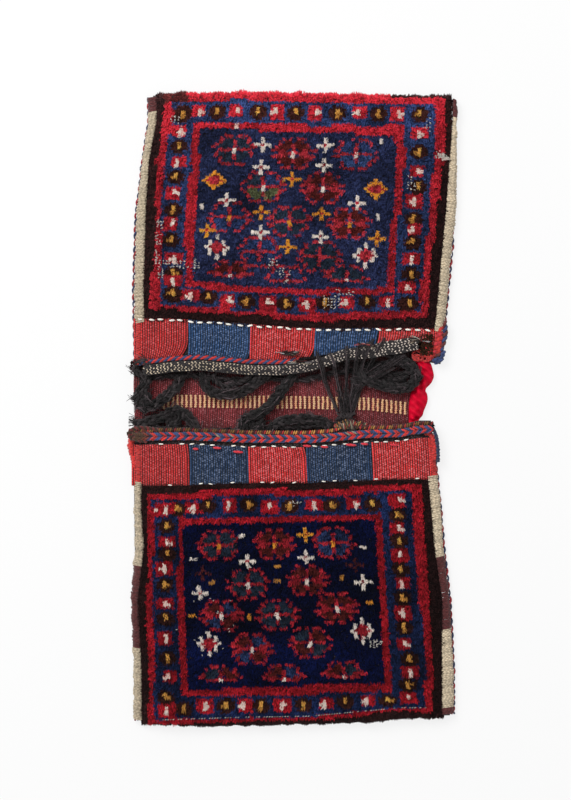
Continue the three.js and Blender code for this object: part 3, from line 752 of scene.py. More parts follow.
# %% Routes of the ties
YARN_RADIUS = 1.5 * MM
TIE_ENDS = 9
TIE_SPACING = 3.5 * MM
TIE_STEP = 2.2 * MM
TIE_DRIFT = 14 * MM
TIE_TAPER = 9 * MM
WRAP_RADIUS = 5 * MM
WRAP_X, WRAP_Y = 63 * MM, -8 * MM
BRAID_WIDTH = 13 * MM
BRAID_HEIGHT = 8 * MM
YARN_LOW = BRIDGE_TOP + 1.1 * MM + YARN_RADIUS
YARN_ON_BRAID = TRIM_FLOOR + BRAID_HEIGHT + CLEARANCE + YARN_RADIUS
YARN_ON_KILIM = FRONT_TOP + 2.8 * MM + YARN_RADIUS
TIES = [
    [(41, 28), (34, 52), (27, 71)],
    [(57, 18), (49, 57), (44, 69)],
    [(64, 24), (66, 61), (65, 77)],
    [(71, 24), (77, 66), (80, 81)],
    [(77, 32), (88, 69), (96, 86)],
    [(83, 32), (102, 74), (110, 87)],
]


def tie_route(index, bridge, top, end):
    bridge, top, end = (np.array(point) * MM for point in (bridge, top, end))

    def towards(goal, distance):
        way = goal - top
        return top + way * distance / np.linalg.norm(way)

    start = (WRAP_X + TIE_SPACING * (index - (len(TIES) - 1) / 2), WRAP_Y + WRAP_RADIUS + CLEARANCE)
    half = BRAID_WIDTH / 2
    return [
        (*start, YARN_LOW),
        (*bridge, YARN_LOW + YARN_RADIUS),
        (*towards(bridge, half + 3 * YARN_RADIUS), (YARN_LOW + YARN_ON_BRAID) / 2),
        (*towards(bridge, half - YARN_RADIUS), YARN_ON_BRAID - YARN_RADIUS / 4),
        (*top, YARN_ON_BRAID + YARN_RADIUS / 4),
        (*towards(end, half), YARN_ON_BRAID - YARN_RADIUS / 2),
        (*end, YARN_ON_KILIM),
    ]


print(len(TIES), "ties")

# %% Fanned ties


def hair_fan(route, count, first_spread, last_spread, draws, names=("goat",)):
    """Loose hairs that follow a route side by side and drift apart along it."""
    path = smooth_path(route, 6 * MM)
    at = path_frame(path)
    share = (at.run / at.run[-1])[:, None]
    spread = first_spread + (last_spread - first_spread) * share
    hairs = []
    for _ in range(count):
        aside = draws.normal() + 0.4 * np.sin(4 * share + draws.uniform(0, 6))
        keep = max(3, round(len(path) * draws.uniform(0.55, 1)))
        line = path + at.side * aside * spread + at.up * abs(draws.normal()) * spread * 0.6
        # a few hairs are much lighter: partly grey hair, partly painted glints
        colour = DYES[draws.choice(names)] * (0.3 + 8 * draws.random() ** 4)
        hairs.append((line[:keep], np.minimum(colour, 0.8), HAIR))
    return hairs


def tie_ends(path, draws):
    """Thin ends that wander round the line of a tie and taper off."""
    at = path_frame(path)
    taper = np.clip((at.run[-1] - at.run) / TIE_TAPER, 0.5, 1)
    ends = []
    for _ in range(TIE_ENDS):
        drift = draws.normal(size=4)
        angle = draws.uniform(0, 2 * math.pi)
        out = draws.uniform(0.8, 2.0) * MM
        aside = out * math.cos(angle) + 0.5 * MM * np.sin(at.run / TIE_DRIFT * drift[0] + drift[1])
        above = out * math.sin(angle) + 0.4 * MM * np.cos(at.run / TIE_DRIFT * drift[2] + drift[3])
        line = path + at.side * aside[:, None] + at.up * above[:, None]
        # some ends are much lighter: partly grey hair, partly painted glints
        ends.append((line, DYES["goat"] * draws.uniform(0.6, 2.4) ** 2, 0.5 * MM * taper))
    return ends


tie_hairs = []
for index, (bridge, top, end) in enumerate(TIES):
    draws = seeded(40 + index)
    route = tie_route(index, bridge, top, end)
    path = smooth_path(route, TIE_STEP)
    name = f"tie_yarn_{index + 1}"
    tie = strand_piece(name + "_ends", tie_ends(path, draws), GOAT, 4, "goat_hair", name)
    # The frayed tips lie past the last two points, so the path is cut there.
    path = path[:-2]
    tie_hairs += hair_fan(route, 16, 0.9 * MM, 2.4 * MM, draws)

# %% [markdown]
# ## The knot and the loose hair
# The bunch is held by hair wound round it many times, each turn a little askew, over a thick core. Loose
# hair from the ties and the loops spreads over the mouth and past the left edge. A fan of it has a count of
# hairs, a first and a last width in millimetres, and a route with heights above the knot's middle.

# %% The knot that holds the ties, and loose hair
KNOT_TURNS = 16
KNOT_SHAPE = np.array([9, 5, 4.4])
KNOT_MIDDLE = np.array([WRAP_X, WRAP_Y, BRIDGE_TOP + WRAP_RADIUS])
HAIR_FANS = [
    (90, 1.2, 4.5, ((355, 392, 0), (364, 381, 4), (384, 369, 9), (405, 356, 9))),
    (30, 2.5, 7, ((347, 418, 0), (346, 404, 2), (342, 388, 0), (338, 372, 7))),
    (60, 2.5, 4, ((140, 422, 0), (135, 422, 0), (128, 422, 0))),
    (40, 2, 3.5, ((140, 372, 0), (135, 370, 0), (129, 371, 0))),
]
draws = seeded(47)
turn = np.linspace(0, 2 * math.pi, 17)
wraps = []
for _ in range(KNOT_TURNS):
    tilt, lean = draws.normal(0, 0.5, 2)
    ring = np.stack([np.cos(turn) * math.sin(tilt), np.cos(turn) * math.cos(tilt), np.sin(turn)], -1)
    ring[:, 0] += draws.uniform(-0.75, 0.75) + 0.3 * lean * np.sin(turn)
    wraps.append((ring * KNOT_SHAPE * MM + KNOT_MIDDLE, DYES["goat"] * draws.uniform(0.5, 1.6), 1.1 * MM))
core = KNOT_MIDDLE + np.outer(np.linspace(-1, 1, 6), (8 * MM, 0, 0))
wraps.append((core, DYES["soot"], 3.6 * MM))
strand_piece("tie_knot", wraps, GOAT, 5, "goat_hair", "tie_wrap")
for count, first_spread, last_spread, spots in HAIR_FANS:
    route = [(*from_photo(px, py), KNOT_MIDDLE[2] + above * MM) for px, py, above in spots]
    tie_hairs += hair_fan(route, count, first_spread * MM, last_spread * MM, draws)
strand_piece("tie_fuzz", tie_hairs, GOAT, 3, "goat_hair")

# %% [markdown]
# ## Knotted pile
# Each face is a rug in small: wool knotted on the ground cloth and shorn to a few millimetres. A knot shows
# as a little bunch of cut ends, so eight tufts stand for each knot, and a tree sets a small spike on every
# one. They lean in drifts, as worn pile does. Painted shade, dark at the roots and bright at the tips,
# makes the wool look deep.

# %% The pile tree
PILE_HEIGHT = 6 * MM
TUFT_WIDTH = 2.6 * MM


def pile_tree():
    tree, given = geometry_tree("knotted pile", height=PILE_HEIGHT, width=TUFT_WIDTH, lean=0.5, seed=1)
    where = tree.out("GeometryNodeInputPosition")
    sizes = {"Vertices": 4, "Radius Top": 0.0, "Radius Bottom": 0.5, "Depth": 1.0}
    spike = tree.out("GeometryNodeMeshCone", sizes, fill_type="NONE")
    spike = store(tree, spike, "rise", tree.out("ShaderNodeSeparateXYZ", {0: where}, output=2))
    drift = tree.out("ShaderNodeTexNoise", {"Vector": where, "Scale": 70.0, "Detail": 1.0}, output="Color")
    lean = tree.scale(tree.vector("SUBTRACT", drift, (0.5, 0.5, 0.5)), given["Lean"])
    limits = {0: (-0.22, -0.3, 0), 1: (0.22, 0.3, 0), "Seed": given["Seed"]}
    scatter = tree.out("FunctionNodeRandomValue", limits, data_type="FLOAT_VECTOR")
    way = tree.vector("ADD", named(tree, "stand", "FLOAT_VECTOR"), tree.vector("ADD", lean, scatter))
    turned = tree.out("FunctionNodeAlignRotationToVector", {"Vector": way}, axis="Z")
    angle = tree.out("FunctionNodeRandomValue", {2: 0.0, 3: 6.28, "Seed": given["Seed"]}, output=1)
    spin = tree.out("FunctionNodeAxisAngleToRotation", {"Axis": (0, 0, 1), "Angle": angle})
    sockets = {"Rotation": turned, "Rotate By": spin}
    turned = tree.out("FunctionNodeRotateRotation", sockets, rotation_space="LOCAL")
    tall = tree.math("MULTIPLY", given["Height"], named(tree, "trim"))
    size = tree.out("ShaderNodeCombineXYZ", {0: given["Width"], 1: given["Width"], 2: tall})
    return close_tree(tree, given, on_points(tree, given, spike, turned, size))


PILE_TREE = pile_tree()
print("the pile tree has", len(PILE_TREE.nodes), "nodes")

# %% [markdown]
# ## The knot plan
# A weaver counts knots. Here a lattice of knots covers each face, five nested frames give the ground
# colours, and small rules in whole knots draw the squares, palmettes and stars. The bag was woven without a
# ruler, so each edge of a frame is told by four places where it falls in the picture, and it runs straight
# from one to the next.

# %% Frames of the two faces
KNOT_WIDTH = 4.2 * MM
KNOT_DEPTH = 3.4 * MM
FRAME_COLUMNS = (170, 250, 310, 400)
FRAME_INSETS = (0, 0.3, -0.3, 0.7, -0.7)
OUTER_GUARD, BORDER, FIELD = 1, 2, 4
OFF_THE_TOP = (0, 0, 0, 0)
OFF_THE_BOTTOM = (900, 900, 900, 900)

UPPER.ground = "navy"
UPPER.border = "royal"
UPPER.frame_rows = (120, 160, 210, 290)
UPPER.fading = ((130, 155, 195, 230, 285), (1.15, 1.3, 1.1, 1.5, 1.4))
UPPER.wear = ((95, 125, 150, 300), (1.5, 1.35, 0.95, 0.92))
UPPER.outline = {-1: (146.5, 140.5, 135, 132.5), 1: (458.5, 458.7, 457.5, 449.5)}
UPPER.lefts = [(154.5, 146.8, 143.5, 141.5), (163.5, 156, 155.5, 150.5), (173, 164.3, 161.5, 161),
               (192, 190.5, 184.5, 184), (201, 199.8, 194.8, 194.5)]
UPPER.rights = [(455.5, 452, 448.3, 440.8), (445, 444.3, 437.3, 429.5), (434, 433.3, 429.8, 420),
                (404.5, 406.5, 400.3, 396), (393.5, 395, 393, 384.5)]
UPPER.tops = [OFF_THE_TOP, OFF_THE_TOP, (101, 98.7, 101.5, 103.5), (122, 120.8, 122.8, 123.5),
              (129, 128.8, 132.3, 134.5)]
UPPER.bottoms = [(319, 325, 329, 329), (308.5, 314.7, 320, 317.5), (303, 309.3, 312.3, 309.3),
                 (285.5, 291.7, 294.3, 293), (277.5, 284, 287, 285.5)]
UPPER.mouth = UPPER.bottoms[0]

LOWER.ground = "midnight"
LOWER.border = "indigo"
LOWER.frame_rows = (510, 545, 600, 670)
LOWER.fading = ((525, 545, 630, 652, 690), (1.6, 1.0, 0.9, 1.6, 1.7))
LOWER.wear = ((500, 520, 550, 690, 705), (0.85, 0.8, 0.62, 0.62, 0.85))
LOWER.outline = {-1: (132.5, 133.5, 129.5, 132), 1: (442.5, 445, 451, 455.5)}
LOWER.lefts = [(138.8, 142, 135.5, 139.3), (146.5, 147.3, 146.5, 148), (153, 154.3, 152.5, 154.8),
               (176.3, 178.3, 176.5, 179.3), (185.5, 184, 183.5, 189)]
LOWER.rights = [(433.5, 436.5, 444.5, 444), (423.5, 425, 431, 433.3), (413.5, 415.3, 419.5, 425.5),
                (384.3, 385.3, 388.3, 392.8), (374.5, 376, 379.8, 383)]
LOWER.tops = [(484.8, 482.3, 482.3, 478.5), (492.3, 486.8, 488.8, 484), (498.8, 494.7, 496, 491),
              (516.5, 514.8, 514.8, 510.5), (524, 523, 522.7, 518.5)]
LOWER.bottoms = [OFF_THE_BOTTOM, (724, 720.8, 720.8, 711), (719, 716.3, 715.5, 707),
                 (697, 695.5, 694.5, 690.5), (690, 687, 683.5, 681)]
LOWER.mouth = LOWER.tops[0]
print(len(UPPER.lefts), "nested frames on each face")

# %% Knots and their frames


def knot_lattice(bag):
    width = 2 * HALF_WIDTH
    near, far = 0.6 * bag.kilim, bag.depth + 5 * MM
    columns, rows = round(width / KNOT_WIDTH), round((far - near) / KNOT_DEPTH)
    across = -HALF_WIDTH + (np.arange(columns) + 0.5) * width / columns
    along = near + (np.arange(rows) + 0.5) * (far - near) / rows
    across, along = np.meshgrid(across, along)
    points = on_pouch(bag, across, along)
    px, py = to_photo(points[..., 0], points[..., 1])
    column, row = np.meshgrid(np.arange(columns), np.arange(rows))
    return SimpleNamespace(across=across, along=along, x=points[..., 0], y=points[..., 1], px=px, py=py,
                           column=column, row=row)


def frame_levels(bag, knots):
    """How many of the nested frames each knot is inside, less one; outside them all there is no knot."""
    px = knots.px + 0.5 * ripple(knots.x, knots.y, 45 * MM, 11)
    py = knots.py + 0.5 * ripple(knots.x, knots.y, 45 * MM, 12)
    level = np.full(px.shape, -1)
    for left, right, top, bottom, inset in zip(bag.lefts, bag.rights, bag.tops, bag.bottoms, FRAME_INSETS):
        inside = px > np.interp(py, bag.frame_rows, left) + inset
        inside &= px < np.interp(py, bag.frame_rows, right) - inset
        inside &= py > np.interp(px, FRAME_COLUMNS, top) + inset
        inside &= py < np.interp(px, FRAME_COLUMNS, bottom) - inset
        level += inside
    return level


print("the upper face is", *knot_lattice(UPPER).px.shape[::-1], "knots wide and long")

# %% Motifs in whole knots
PALMETTE_RIM = ((4, 4), (4, 3), (5, 2), (6, 1), (5, 1))


class KnotPlan:
    def __init__(self, bag):
        self.knots = knot_lattice(bag)
        self.level = frame_levels(bag, self.knots)
        names = ("soot", "red", bag.border, "red", bag.ground)
        self.dye = np.array([dye_index(name) for name in names])[np.maximum(self.level, 0)]

    def tie(self, where, name):
        self.dye[where] = dye_index(name)

    def steps_from(self, px, py):
        """Whole knots to the right of and below the knot nearest to a place in the picture."""
        knots = self.knots
        nearest = np.argmin((knots.px - px) ** 2 + (knots.py - py) ** 2)
        row, column = np.unravel_index(nearest, knots.px.shape)
        downwards = np.sign(knots.py[-1, 0] - knots.py[0, 0])
        return knots.column - column, (knots.row - row) * downwards

    def border_square(self, px, py, dark, draws):
        right, down = self.steps_from(px, py)
        right = right * draws.choice([-1, 1])
        border = self.level == BORDER
        if dark:
            round_off = np.abs(right) + np.abs(down) <= 3
            self.tie(border & (np.abs(right) <= 2) & (np.abs(down) <= 2) & round_off, "bark")
            self.tie(border & (right == 0) & (down >= -1) & (down <= 0), "amber")
            self.tie(border & (right == 0) & (down == 1) & (draws.random() < 0.5), "ochre")
            self.tie(border & (right == 1) & (down == 0) & (draws.random() < 0.4), "ochre")
        else:
            wide, tall = draws.integers(1, 3), draws.integers(1, 3)
            self.tie(border & (right >= -2) & (right <= wide) & (down >= -2) & (down <= tall), "red")
            self.tie(border & (right == 0) & (down >= -1) & (down <= draws.integers(0, 2)), "rose")
            self.tie(border & (right == 1) & (down == 0) & (draws.random() < 0.6), "rose")
            self.tie(border & (right == 0) & (down == 0), draws.choice(["ivory", "rose"]))

    def palmette(self, px, py, fills, heart, half=False):
        """Four round lobes in broken red rims, a red cross between them and a bright heart."""
        fills = (fills,) * 4 if isinstance(fills, str) else fills
        draws = seeded(round(px * 10 + py))
        right, down = self.steps_from(px, py)
        out, up = np.abs(right), np.abs(down)
        field = (self.level == FIELD) & ((down <= 0) | (not half))
        blob = (up >= 1) & (up <= 4) & (out >= 1) & ((out <= 3) | ((out == 4) & (up <= 2)))
        blob &= (out + up != 2) & (out + up != 7)
        for (over, under), fill in zip(((-1, -1), (1, -1), (-1, 1), (1, 1)), fills):
            self.tie(field & blob & (right * over > 0) & (down * under > 0), fill)
        rim = (up == 5) & (out >= 1) & (out <= 3)
        for column, row in PALMETTE_RIM:
            rim |= (out == column) & (up == row)
        self.tie(field & rim & (draws.random(rim.shape) < 0.85), "red")
        cross = ((down == 0) & (out <= 4)) | ((right == 0) & (up <= 3))
        self.tie(field & cross, "red")
        if fills[0] == "walnut":
            self.tie(field & (up == 1) & (out >= 3) & (out <= 5), "red")
        self.tie(field & (right == 0) & ((down == 0) | (down == 1)), heart)

    def star(self, px, py, petals, heart):
        right, down = np.abs(self.steps_from(px, py))
        cross = ((right == 0) & (down <= 2)) | ((down == 0) & (right <= 2))
        self.tie(cross, petals)
        self.tie((right == 0) & (down == 0), heart)

    def rosette(self, px, py, petals, heart):
        right, down = np.abs(self.steps_from(px, py))
        self.tie(((right + down == 3) & (right <= 2)) | ((right == 3) & (down == 0)), petals)
        self.tie(right + down <= 2, heart)
        self.tie((right == 0) & (down == 2), petals)

    def diamond(self, px, py, petals, heart):
        right, down = np.abs(self.steps_from(px, py))
        self.tie(right + down <= 2, heart)
        self.tie(((right == 2) & (down >= 1) & (down <= 2)) | ((right == 3) & (down == 0)), petals)
        self.tie((right == 0) & (down >= 3) & (down <= 4), petals)

    def speck(self, px, py, name):
        right, down = self.steps_from(px, py)
        self.tie((right >= 0) & (right <= 1) & (down == 0), name)

    def dot(self, px, py, name):
        right, down = self.steps_from(px, py)
        self.tie((right == 0) & (down >= 0) & (down <= 1), name)


# %% [markdown]
# ## Where the motifs stand
# Palmettes sit in offset rows, with stars and rosettes in the gaps. Both faces were tied from memory, so no
# two rows are quite level and the colours in a palmette change where a yarn ran out.

# %% Motif places in the picture
TEAL_AND_OLIVE = ("teal", "royal", "olive", "olive")
TEAL_AND_WALNUT = ("teal", "walnut", "walnut", "teal")
WALNUT_AND_ROYAL = ("walnut", "royal", "royal", "walnut")
BLUE_AND_ROYAL = ("royal", "royal", "sky", "sky")

UPPER.palmettes = [
    (235, 148, "teal", "ivory"), (295, 152, "walnut", "ivory"), (356, 154, BLUE_AND_ROYAL, "ivory"),
    (262, 186, TEAL_AND_OLIVE, "ivory"), (323, 187, "walnut", "ivory"),
    (230.5, 217, "royal", "orange"), (290.5, 220, "teal", "orange"), (351, 222, "walnut", "orange"),
    (259, 250, "royal", "red"), (318.5, 254, "teal", "red"),
]
UPPER.half_palmettes = [(229, 276, "walnut", "ivory"), (287, 279, "royal", "ivory"),
                        (346, 280, "teal", "ivory")]
UPPER.white_stars = [(263, 143), (262, 165), (326, 144), (324, 165), (227, 198), (358, 203), (259, 230),
                     (319, 234)]
UPPER.diamonds = [(216.5, 247), (365, 253)]
UPPER.orange_stars = [(293, 179), (260, 212), (320, 213), (207, 230), (377, 237), (289, 245)]
UPPER.rosettes = [(215, 179), (376, 188)]
UPPER.faded_stars = []
UPPER.dots = [(202, 205, "ivory"), (383, 140, "ivory"), (378, 213, "ivory"), (235, 123, "rose")]
UPPER.specks = [(440, 155, "ivory"), (445, 157, "ivory")]
UPPER.guard_patches = [("maroon", 0, 188, 101), ("soot", 392, PHOTO_WIDTH, 97)]

LOWER.palmettes = [
    (219, 544, "teal", "orange"), (276, 544, "walnut", "orange"), (334, 541, "royal", "orange"),
    (247.5, 582, "teal", "ivory"), (306, 579, "walnut", "ivory"),
    (221, 615, WALNUT_AND_ROYAL, "ivory"), (278, 613, "teal", "ivory"), (338, 607, "walnut", "ivory"),
    (250.6, 647, WALNUT_AND_ROYAL, "ivory"), (311, 642, TEAL_AND_WALNUT, "ivory"),
]
LOWER.half_palmettes = [(222, 680, TEAL_AND_WALNUT[::-1], "ivory"), (283, 679, ("walnut", "royal"), "ivory"),
                        (343, 677, ("walnut", "teal"), "ivory")]
LOWER.white_stars = [(247, 560), (305, 558), (201, 592), (363, 580)]
LOWER.diamonds = [(208, 643), (361.5, 630)]
LOWER.orange_stars = [(305, 535)]
LOWER.rosettes = []
LOWER.faded_stars = [(201, 572), (356, 565)]
LOWER.dots = [(249, 615, "orange"), (341, 576, "ochre")]
LOWER.specks = [(275, 567, "ochre"), (275, 581, "ochre"), (210, 582, "ochre"), (238, 535, "ivory"),
                (190, 558, "ivory"), (361, 548, "ivory"), (191, 615, "orange"), (369, 600, "orange")]
LOWER.guard_patches = []
print(sum(len(bag.palmettes + bag.half_palmettes) for bag in POUCHES), "palmettes on both faces")

# %% Squares of the borders
UPPER.corner_is_dark = True
UPPER.squares = {
    "top": (182, 200, 218, 239, 257, 276, 297, 317, 337, 358, 379, 398, 420),
    "bottom": (171, 189.5, 208, 229, 247, 267, 287, 306, 326, 346.5, 367, 387.5, 407.5),
    "left": (114, 131, 144, 162, 176, 193, 207.5, 223.5, 239, 257.5, 272, 281.5, 293),
    "right": (113, 133, 150, 170, 187, 201, 217, 229.5, 242.5, 258, 274, 289, 302.5),
}
LOWER.corner_is_dark = False
LOWER.squares = {
    "top": (159, 175, 194, 208, 228, 250, 269, 291, 313, 333, 354, 374.5, 396.5),
    "bottom": (167, 185, 206, 225, 242.5, 263, 283.5, 303, 324.5, 347, 368, 388, 410),
    "left": (508, 525, 543, 555, 569, 586, 604, 619, 638.5, 656.5, 676, 696, 711),
    "right": (500, 513, 528, 541, 554, 569.5, 582.5, 597, 613, 627, 643, 658, 672, 685, 698),
}


def border_squares(bag, plan):
    """Squares down the middle of the border frame, red and dark in turn."""
    draws = seeded(50 + bag.side)
    edges = {"top": bag.tops, "bottom": bag.bottoms, "left": bag.lefts, "right": bag.rights}
    for side, places in bag.squares.items():
        middle = np.mean(edges[side][2:4], axis=0)
        for index, spot in enumerate(places):
            upright = side in ("left", "right")
            other = np.interp(spot, bag.frame_rows if upright else FRAME_COLUMNS, middle)
            px, py = (other, spot) if upright else (spot, other)
            plan.border_square(px, py, (index % 2 == 0) == bag.corner_is_dark, draws)


print("squares on top:", len(UPPER.squares["top"]), "and", len(LOWER.squares["top"]))

# %% Drawing a face


def draw_face(bag):
    plan = KnotPlan(bag)
    border_squares(bag, plan)
    for palmette in bag.palmettes:
        plan.palmette(*palmette)
    for palmette in bag.half_palmettes:
        plan.palmette(*palmette, half=True)
    small_motifs = (
        (plan.star, bag.white_stars, ("ivory", "red")),
        (plan.diamond, bag.diamonds, ("ivory", "red")),
        (plan.star, bag.orange_stars, ("orange", "red")),
        (plan.rosette, bag.rosettes, ("orange", "red")),
        (plan.star, bag.faded_stars, ("maroon", bag.ground)),
        (plan.dot, bag.dots, ()),
        (plan.speck, bag.specks, ()),
    )
    for draw, spots, dyes in small_motifs:
        for spot in spots:
            draw(*spot, *dyes)
    for name, left, right, bottom in bag.guard_patches:
        in_patch = (plan.knots.px > left) & (plan.knots.px < right) & (plan.knots.py < bottom)
        plan.tie((plan.level == OUTER_GUARD) & in_patch, name)
    return plan


# %% [markdown]
# ## From knots to tufts
# Every knot becomes eight tufts, each a little out of line, lighter or darker, taller or shorter than the
# next. Bright wool was tied more evenly and stands proud. Dark wool rots first, so it is shorn lower. The
# grounds have faded in bands, the rest of the pile is lighter or darker by rows, and the pile is ragged
# where the cloth turns.

# %% Tufts of a knot
TUFTS = np.array([(over, along) for along in (-0.25, 0.25) for over in (-0.375, -0.125, 0.125, 0.375)])
BRIGHT_DYES = [dye_index(name) for name in ("ivory", "orange", "rose", "ochre", "amber")]
PALE_DYES = [dye_index(name) for name in ("ivory", "rose")]
BLUE_DYES = [dye_index(name) for name in ("navy", "midnight", "royal", "indigo")]
GROUND_DYES = [dye_index(name) for name in ("navy", "midnight")]
COMBED = np.array([0.0, -0.5, 0.0])
BRIGHT_SPREAD = 1.02
BRIGHT_TRIM = 1.12
DARK_TRIM = 0.8
FOLD_TRIM = 0.75
FOLD_REACH = 14 * MM
ABRASH_SIZE = 75 * MM
DEEP_RED = np.array([1, 0.7, 0.78])
PETAL_RED = np.array([0.95, 1.6, 1.4])


def tuft_places(plan, chosen, calm, draws):
    """Where the tufts of the chosen knots stand, across and along the cloth."""
    spread = np.where(calm < 1, BRIGHT_SPREAD, 1.0)[:, None, None]
    calm = calm[:, None, None]
    places = TUFTS * spread + calm * draws.normal(0, 0.13, (len(calm), len(TUFTS), 2))
    places = places + calm * draws.normal(0, 0.1, (len(calm), 1, 2))
    across = plan.knots.across[chosen][:, None] + places[:, :, 0] * KNOT_WIDTH
    run = plan.knots.along[chosen][:, None] + places[:, :, 1] * KNOT_DEPTH
    return across.ravel(), run.ravel()


def tuft_shades(bag, plan, chosen, calm, seed, draws):
    """How light each tuft is, from its dye lot, its knot, the fading of its ground and its row in the
    picture.
    """
    knots, dyes = plan.knots, plan.dye[chosen]
    depth = np.where(np.isin(dyes, BLUE_DYES), 0.4, 0.18)
    abrash = 1 + depth * ripple(knots.x[chosen], knots.y[chosen], ABRASH_SIZE, seed + 1)
    shade = (1 + calm * draws.uniform(-0.4, 0.4, len(calm))) * abrash
    uneven = draws.uniform(-1, 1, (len(calm), len(TUFTS))) * (calm * (0.25 + 0.8 * depth))[:, None]
    ground = np.isin(dyes, GROUND_DYES)
    shade *= np.where(ground, np.interp(knots.py[chosen], *bag.fading), 1.0)
    wear = np.interp(knots.py[chosen], *bag.wear) ** np.where(plan.level[chosen] == FIELD, 0.6, 1)
    shade *= np.where(ground | (calm < 1), 1.0, wear)
    shade *= np.where(np.isin(dyes, PALE_DYES), 1.9, np.where(calm < 1, 1.25, 1.0))
    return (shade[:, None] * (1 + uneven)).ravel()


def tuft_trims(bag, dyes, calm, across, run, seed, draws):
    """How tall each tuft is, as a share of the pile's height."""
    dark = np.repeat(dyes == dye_index("soot"), len(TUFTS))
    trim = np.where(dark, DARK_TRIM, 1.0) * draws.uniform(0.85, 1.15, len(dark))
    knot_trim = draws.uniform(0.85, 1.1, len(calm)) * np.where(calm < 1, BRIGHT_TRIM, 1.0)
    trim *= np.repeat(knot_trim, len(TUFTS))
    ragged = FOLD_TRIM + 0.3 * ripple(across, 0 * across, 26 * MM, seed + 2)
    at_fold = np.clip((run - bag.depth) / FOLD_REACH + 1, 0, 1)
    return trim * (1 + at_fold * (ragged - 1))


def tuft_mesh(bag, name, plan, chosen, seed):
    draws = seeded(seed)
    dyes = plan.dye[chosen]
    calm = np.where(np.isin(dyes, BRIGHT_DYES), 0.3, 1.0)
    across, run = tuft_places(plan, chosen, calm, draws)
    shade = tuft_shades(bag, plan, chosen, calm, seed, draws)
    trim = tuft_trims(bag, dyes, calm, across, run, seed, draws)
    bunch = np.repeat(draws.normal(0, 0.2, (len(dyes), 3)) * (1, 1, 0), len(TUFTS), 0)
    index = np.repeat(dyes, len(TUFTS))
    yarn = DYE_TABLE[index] * shade[:, None]
    red = index == dye_index("red")
    yarn[red & np.repeat(plan.level[chosen] == FIELD, len(TUFTS))] *= PETAL_RED
    if bag is LOWER:
        yarn[red] *= DEEP_RED
    stand = standing(bag, across, run) + bunch + COMBED
    return seed_mesh(name, on_pouch(bag, across, run), yarn=yarn, trim=trim, stand=stand)


print(len(TUFTS), "tufts for each knot")

# %% Pile of every frame
FRAMES = [
    ("dark_pile", "brown_pile", ("mouth_pile", "left_edge_pile", "right_edge_pile")),
    ("outer_guard", "red_pile", ("outer_guard",)),
    ("border", "blue_pile", ("border",)),
    ("inner_guard", "red_pile", ("inner_guard",)),
    ("field", "navy_pile", ("field",)),
]
for bag in POUCHES:
    bag.plan = draw_face(bag)
    for level, (name, slot, nodes) in enumerate(FRAMES):
        title = f"{bag.name}_{name}_tufts"
        mesh = tuft_mesh(bag, title, bag.plan, bag.plan.level == level, 60 + level)
        piece = grow(title, mesh, PILE_TREE, PILE, seed=level)
        settle(piece, slot, *(f"{bag.name}_{node}" for node in nodes))

# %% [markdown]
# ## Ribbed weave
# The tapestry and the bridge are weft-faced: thick wool is beaten down until the warps show only as ribs. A
# grid carries two counts, which rib and which pick a point is on. One tree raises the ribs from the first,
# and a shader group reads both and paints the shade of the valleys and of the small beats of the weft, so
# these cost no triangles.

# %% The weave tree and group


def humps(tree, count):
    """A row of rounded humps, one for each whole step of a count."""
    return tree.math("ABSOLUTE", tree.math("SINE", tree.math("MULTIPLY", count, math.pi)))


def weave_tree():
    tree, given = geometry_tree("ribbed weave", rib_height=0.8 * MM, slack=0.4 * MM)
    where = tree.out("GeometryNodeInputPosition")
    noise = tree.out("ShaderNodeTexNoise", {"Vector": where, "Scale": 60.0, "Detail": 2.0})
    loose = tree.math("MULTIPLY", tree.math("SUBTRACT", noise, 0.5), given["Slack"])
    ribs = tree.math("MULTIPLY", humps(tree, named(tree, "warp")), given["Rib height"])
    offset = tree.scale(tree.out("GeometryNodeInputNormal"), tree.math("ADD", ribs, loose))
    cloth = tree.out("GeometryNodeSetPosition", {"Geometry": given["Geometry"], "Offset": offset})
    return close_tree(tree, given, cloth)


def weave_group():
    """Painted shade: valleys between the ribs are dark and each beat of the weft is a lit hump. Pale flecks
    on the crests are partly worn fibre and partly painted highlight.
    """
    tree, given = shader_group("weft-faced weave", "Warp", "Weft", "Valley", "Flecks")
    ridge = humps(tree, given["Warp"])
    stagger = tree.math("MULTIPLY", tree.math("FLOOR", given["Warp"]), 0.5)
    beat = humps(tree, tree.math("ADD", given["Weft"], stagger))
    # painted shade: dark valleys between the ribs, lighter crests, and each beat lit as a small hump
    raised = tree.math("MULTIPLY", tree.math("SUBTRACT", 1.0, given["Valley"]), ridge)
    lit = tree.math("MAXIMUM", tree.math("ADD", given["Valley"], raised), 0.04)
    lit = tree.math("MULTIPLY", lit, tree.math("ADD", 0.5, tree.math("MULTIPLY", beat, 0.6)))
    where = tree.out("ShaderNodeTexCoord", output="Object")
    noise = tree.out("ShaderNodeTexNoise", {"Vector": where, "Scale": 420.0, "Detail": 1.0})
    # pale flecks on the crests of the beats: partly worn fibre, partly painted highlight
    pale = tree.math("MAXIMUM", tree.math("SUBTRACT", noise, 0.46), 0.0)
    pale = tree.math("MULTIPLY", pale, given["Flecks"])
    pale = tree.math("MINIMUM", tree.math("MULTIPLY", pale, tree.math("MULTIPLY", ridge, beat)), 0.85)
    lighter = tree.vector("ADD", tree.scale(given["Colour"], 1.9), (0.15, 0.15, 0.16))
    lighter = tree.vector("MINIMUM", lighter, (0.95, 0.9, 0.9))
    sockets = {0: pale, 6: tree.scale(given["Colour"], lit), 7: lighter}
    worn = tree.out("ShaderNodeMix", sockets, output=2, data_type="RGBA")
    height = tree.math("ADD", ridge, tree.math("MULTIPLY", beat, 0.5))
    tree.add("NodeGroupOutput", {"Colour": worn, "Height": height})
    return tree.tree


WEAVE_TREE = weave_tree()
WEAVE = weave_group()
print("the weave tree has", len(WEAVE_TREE.nodes), "nodes")

# %% Tapestry and plain weave finishes


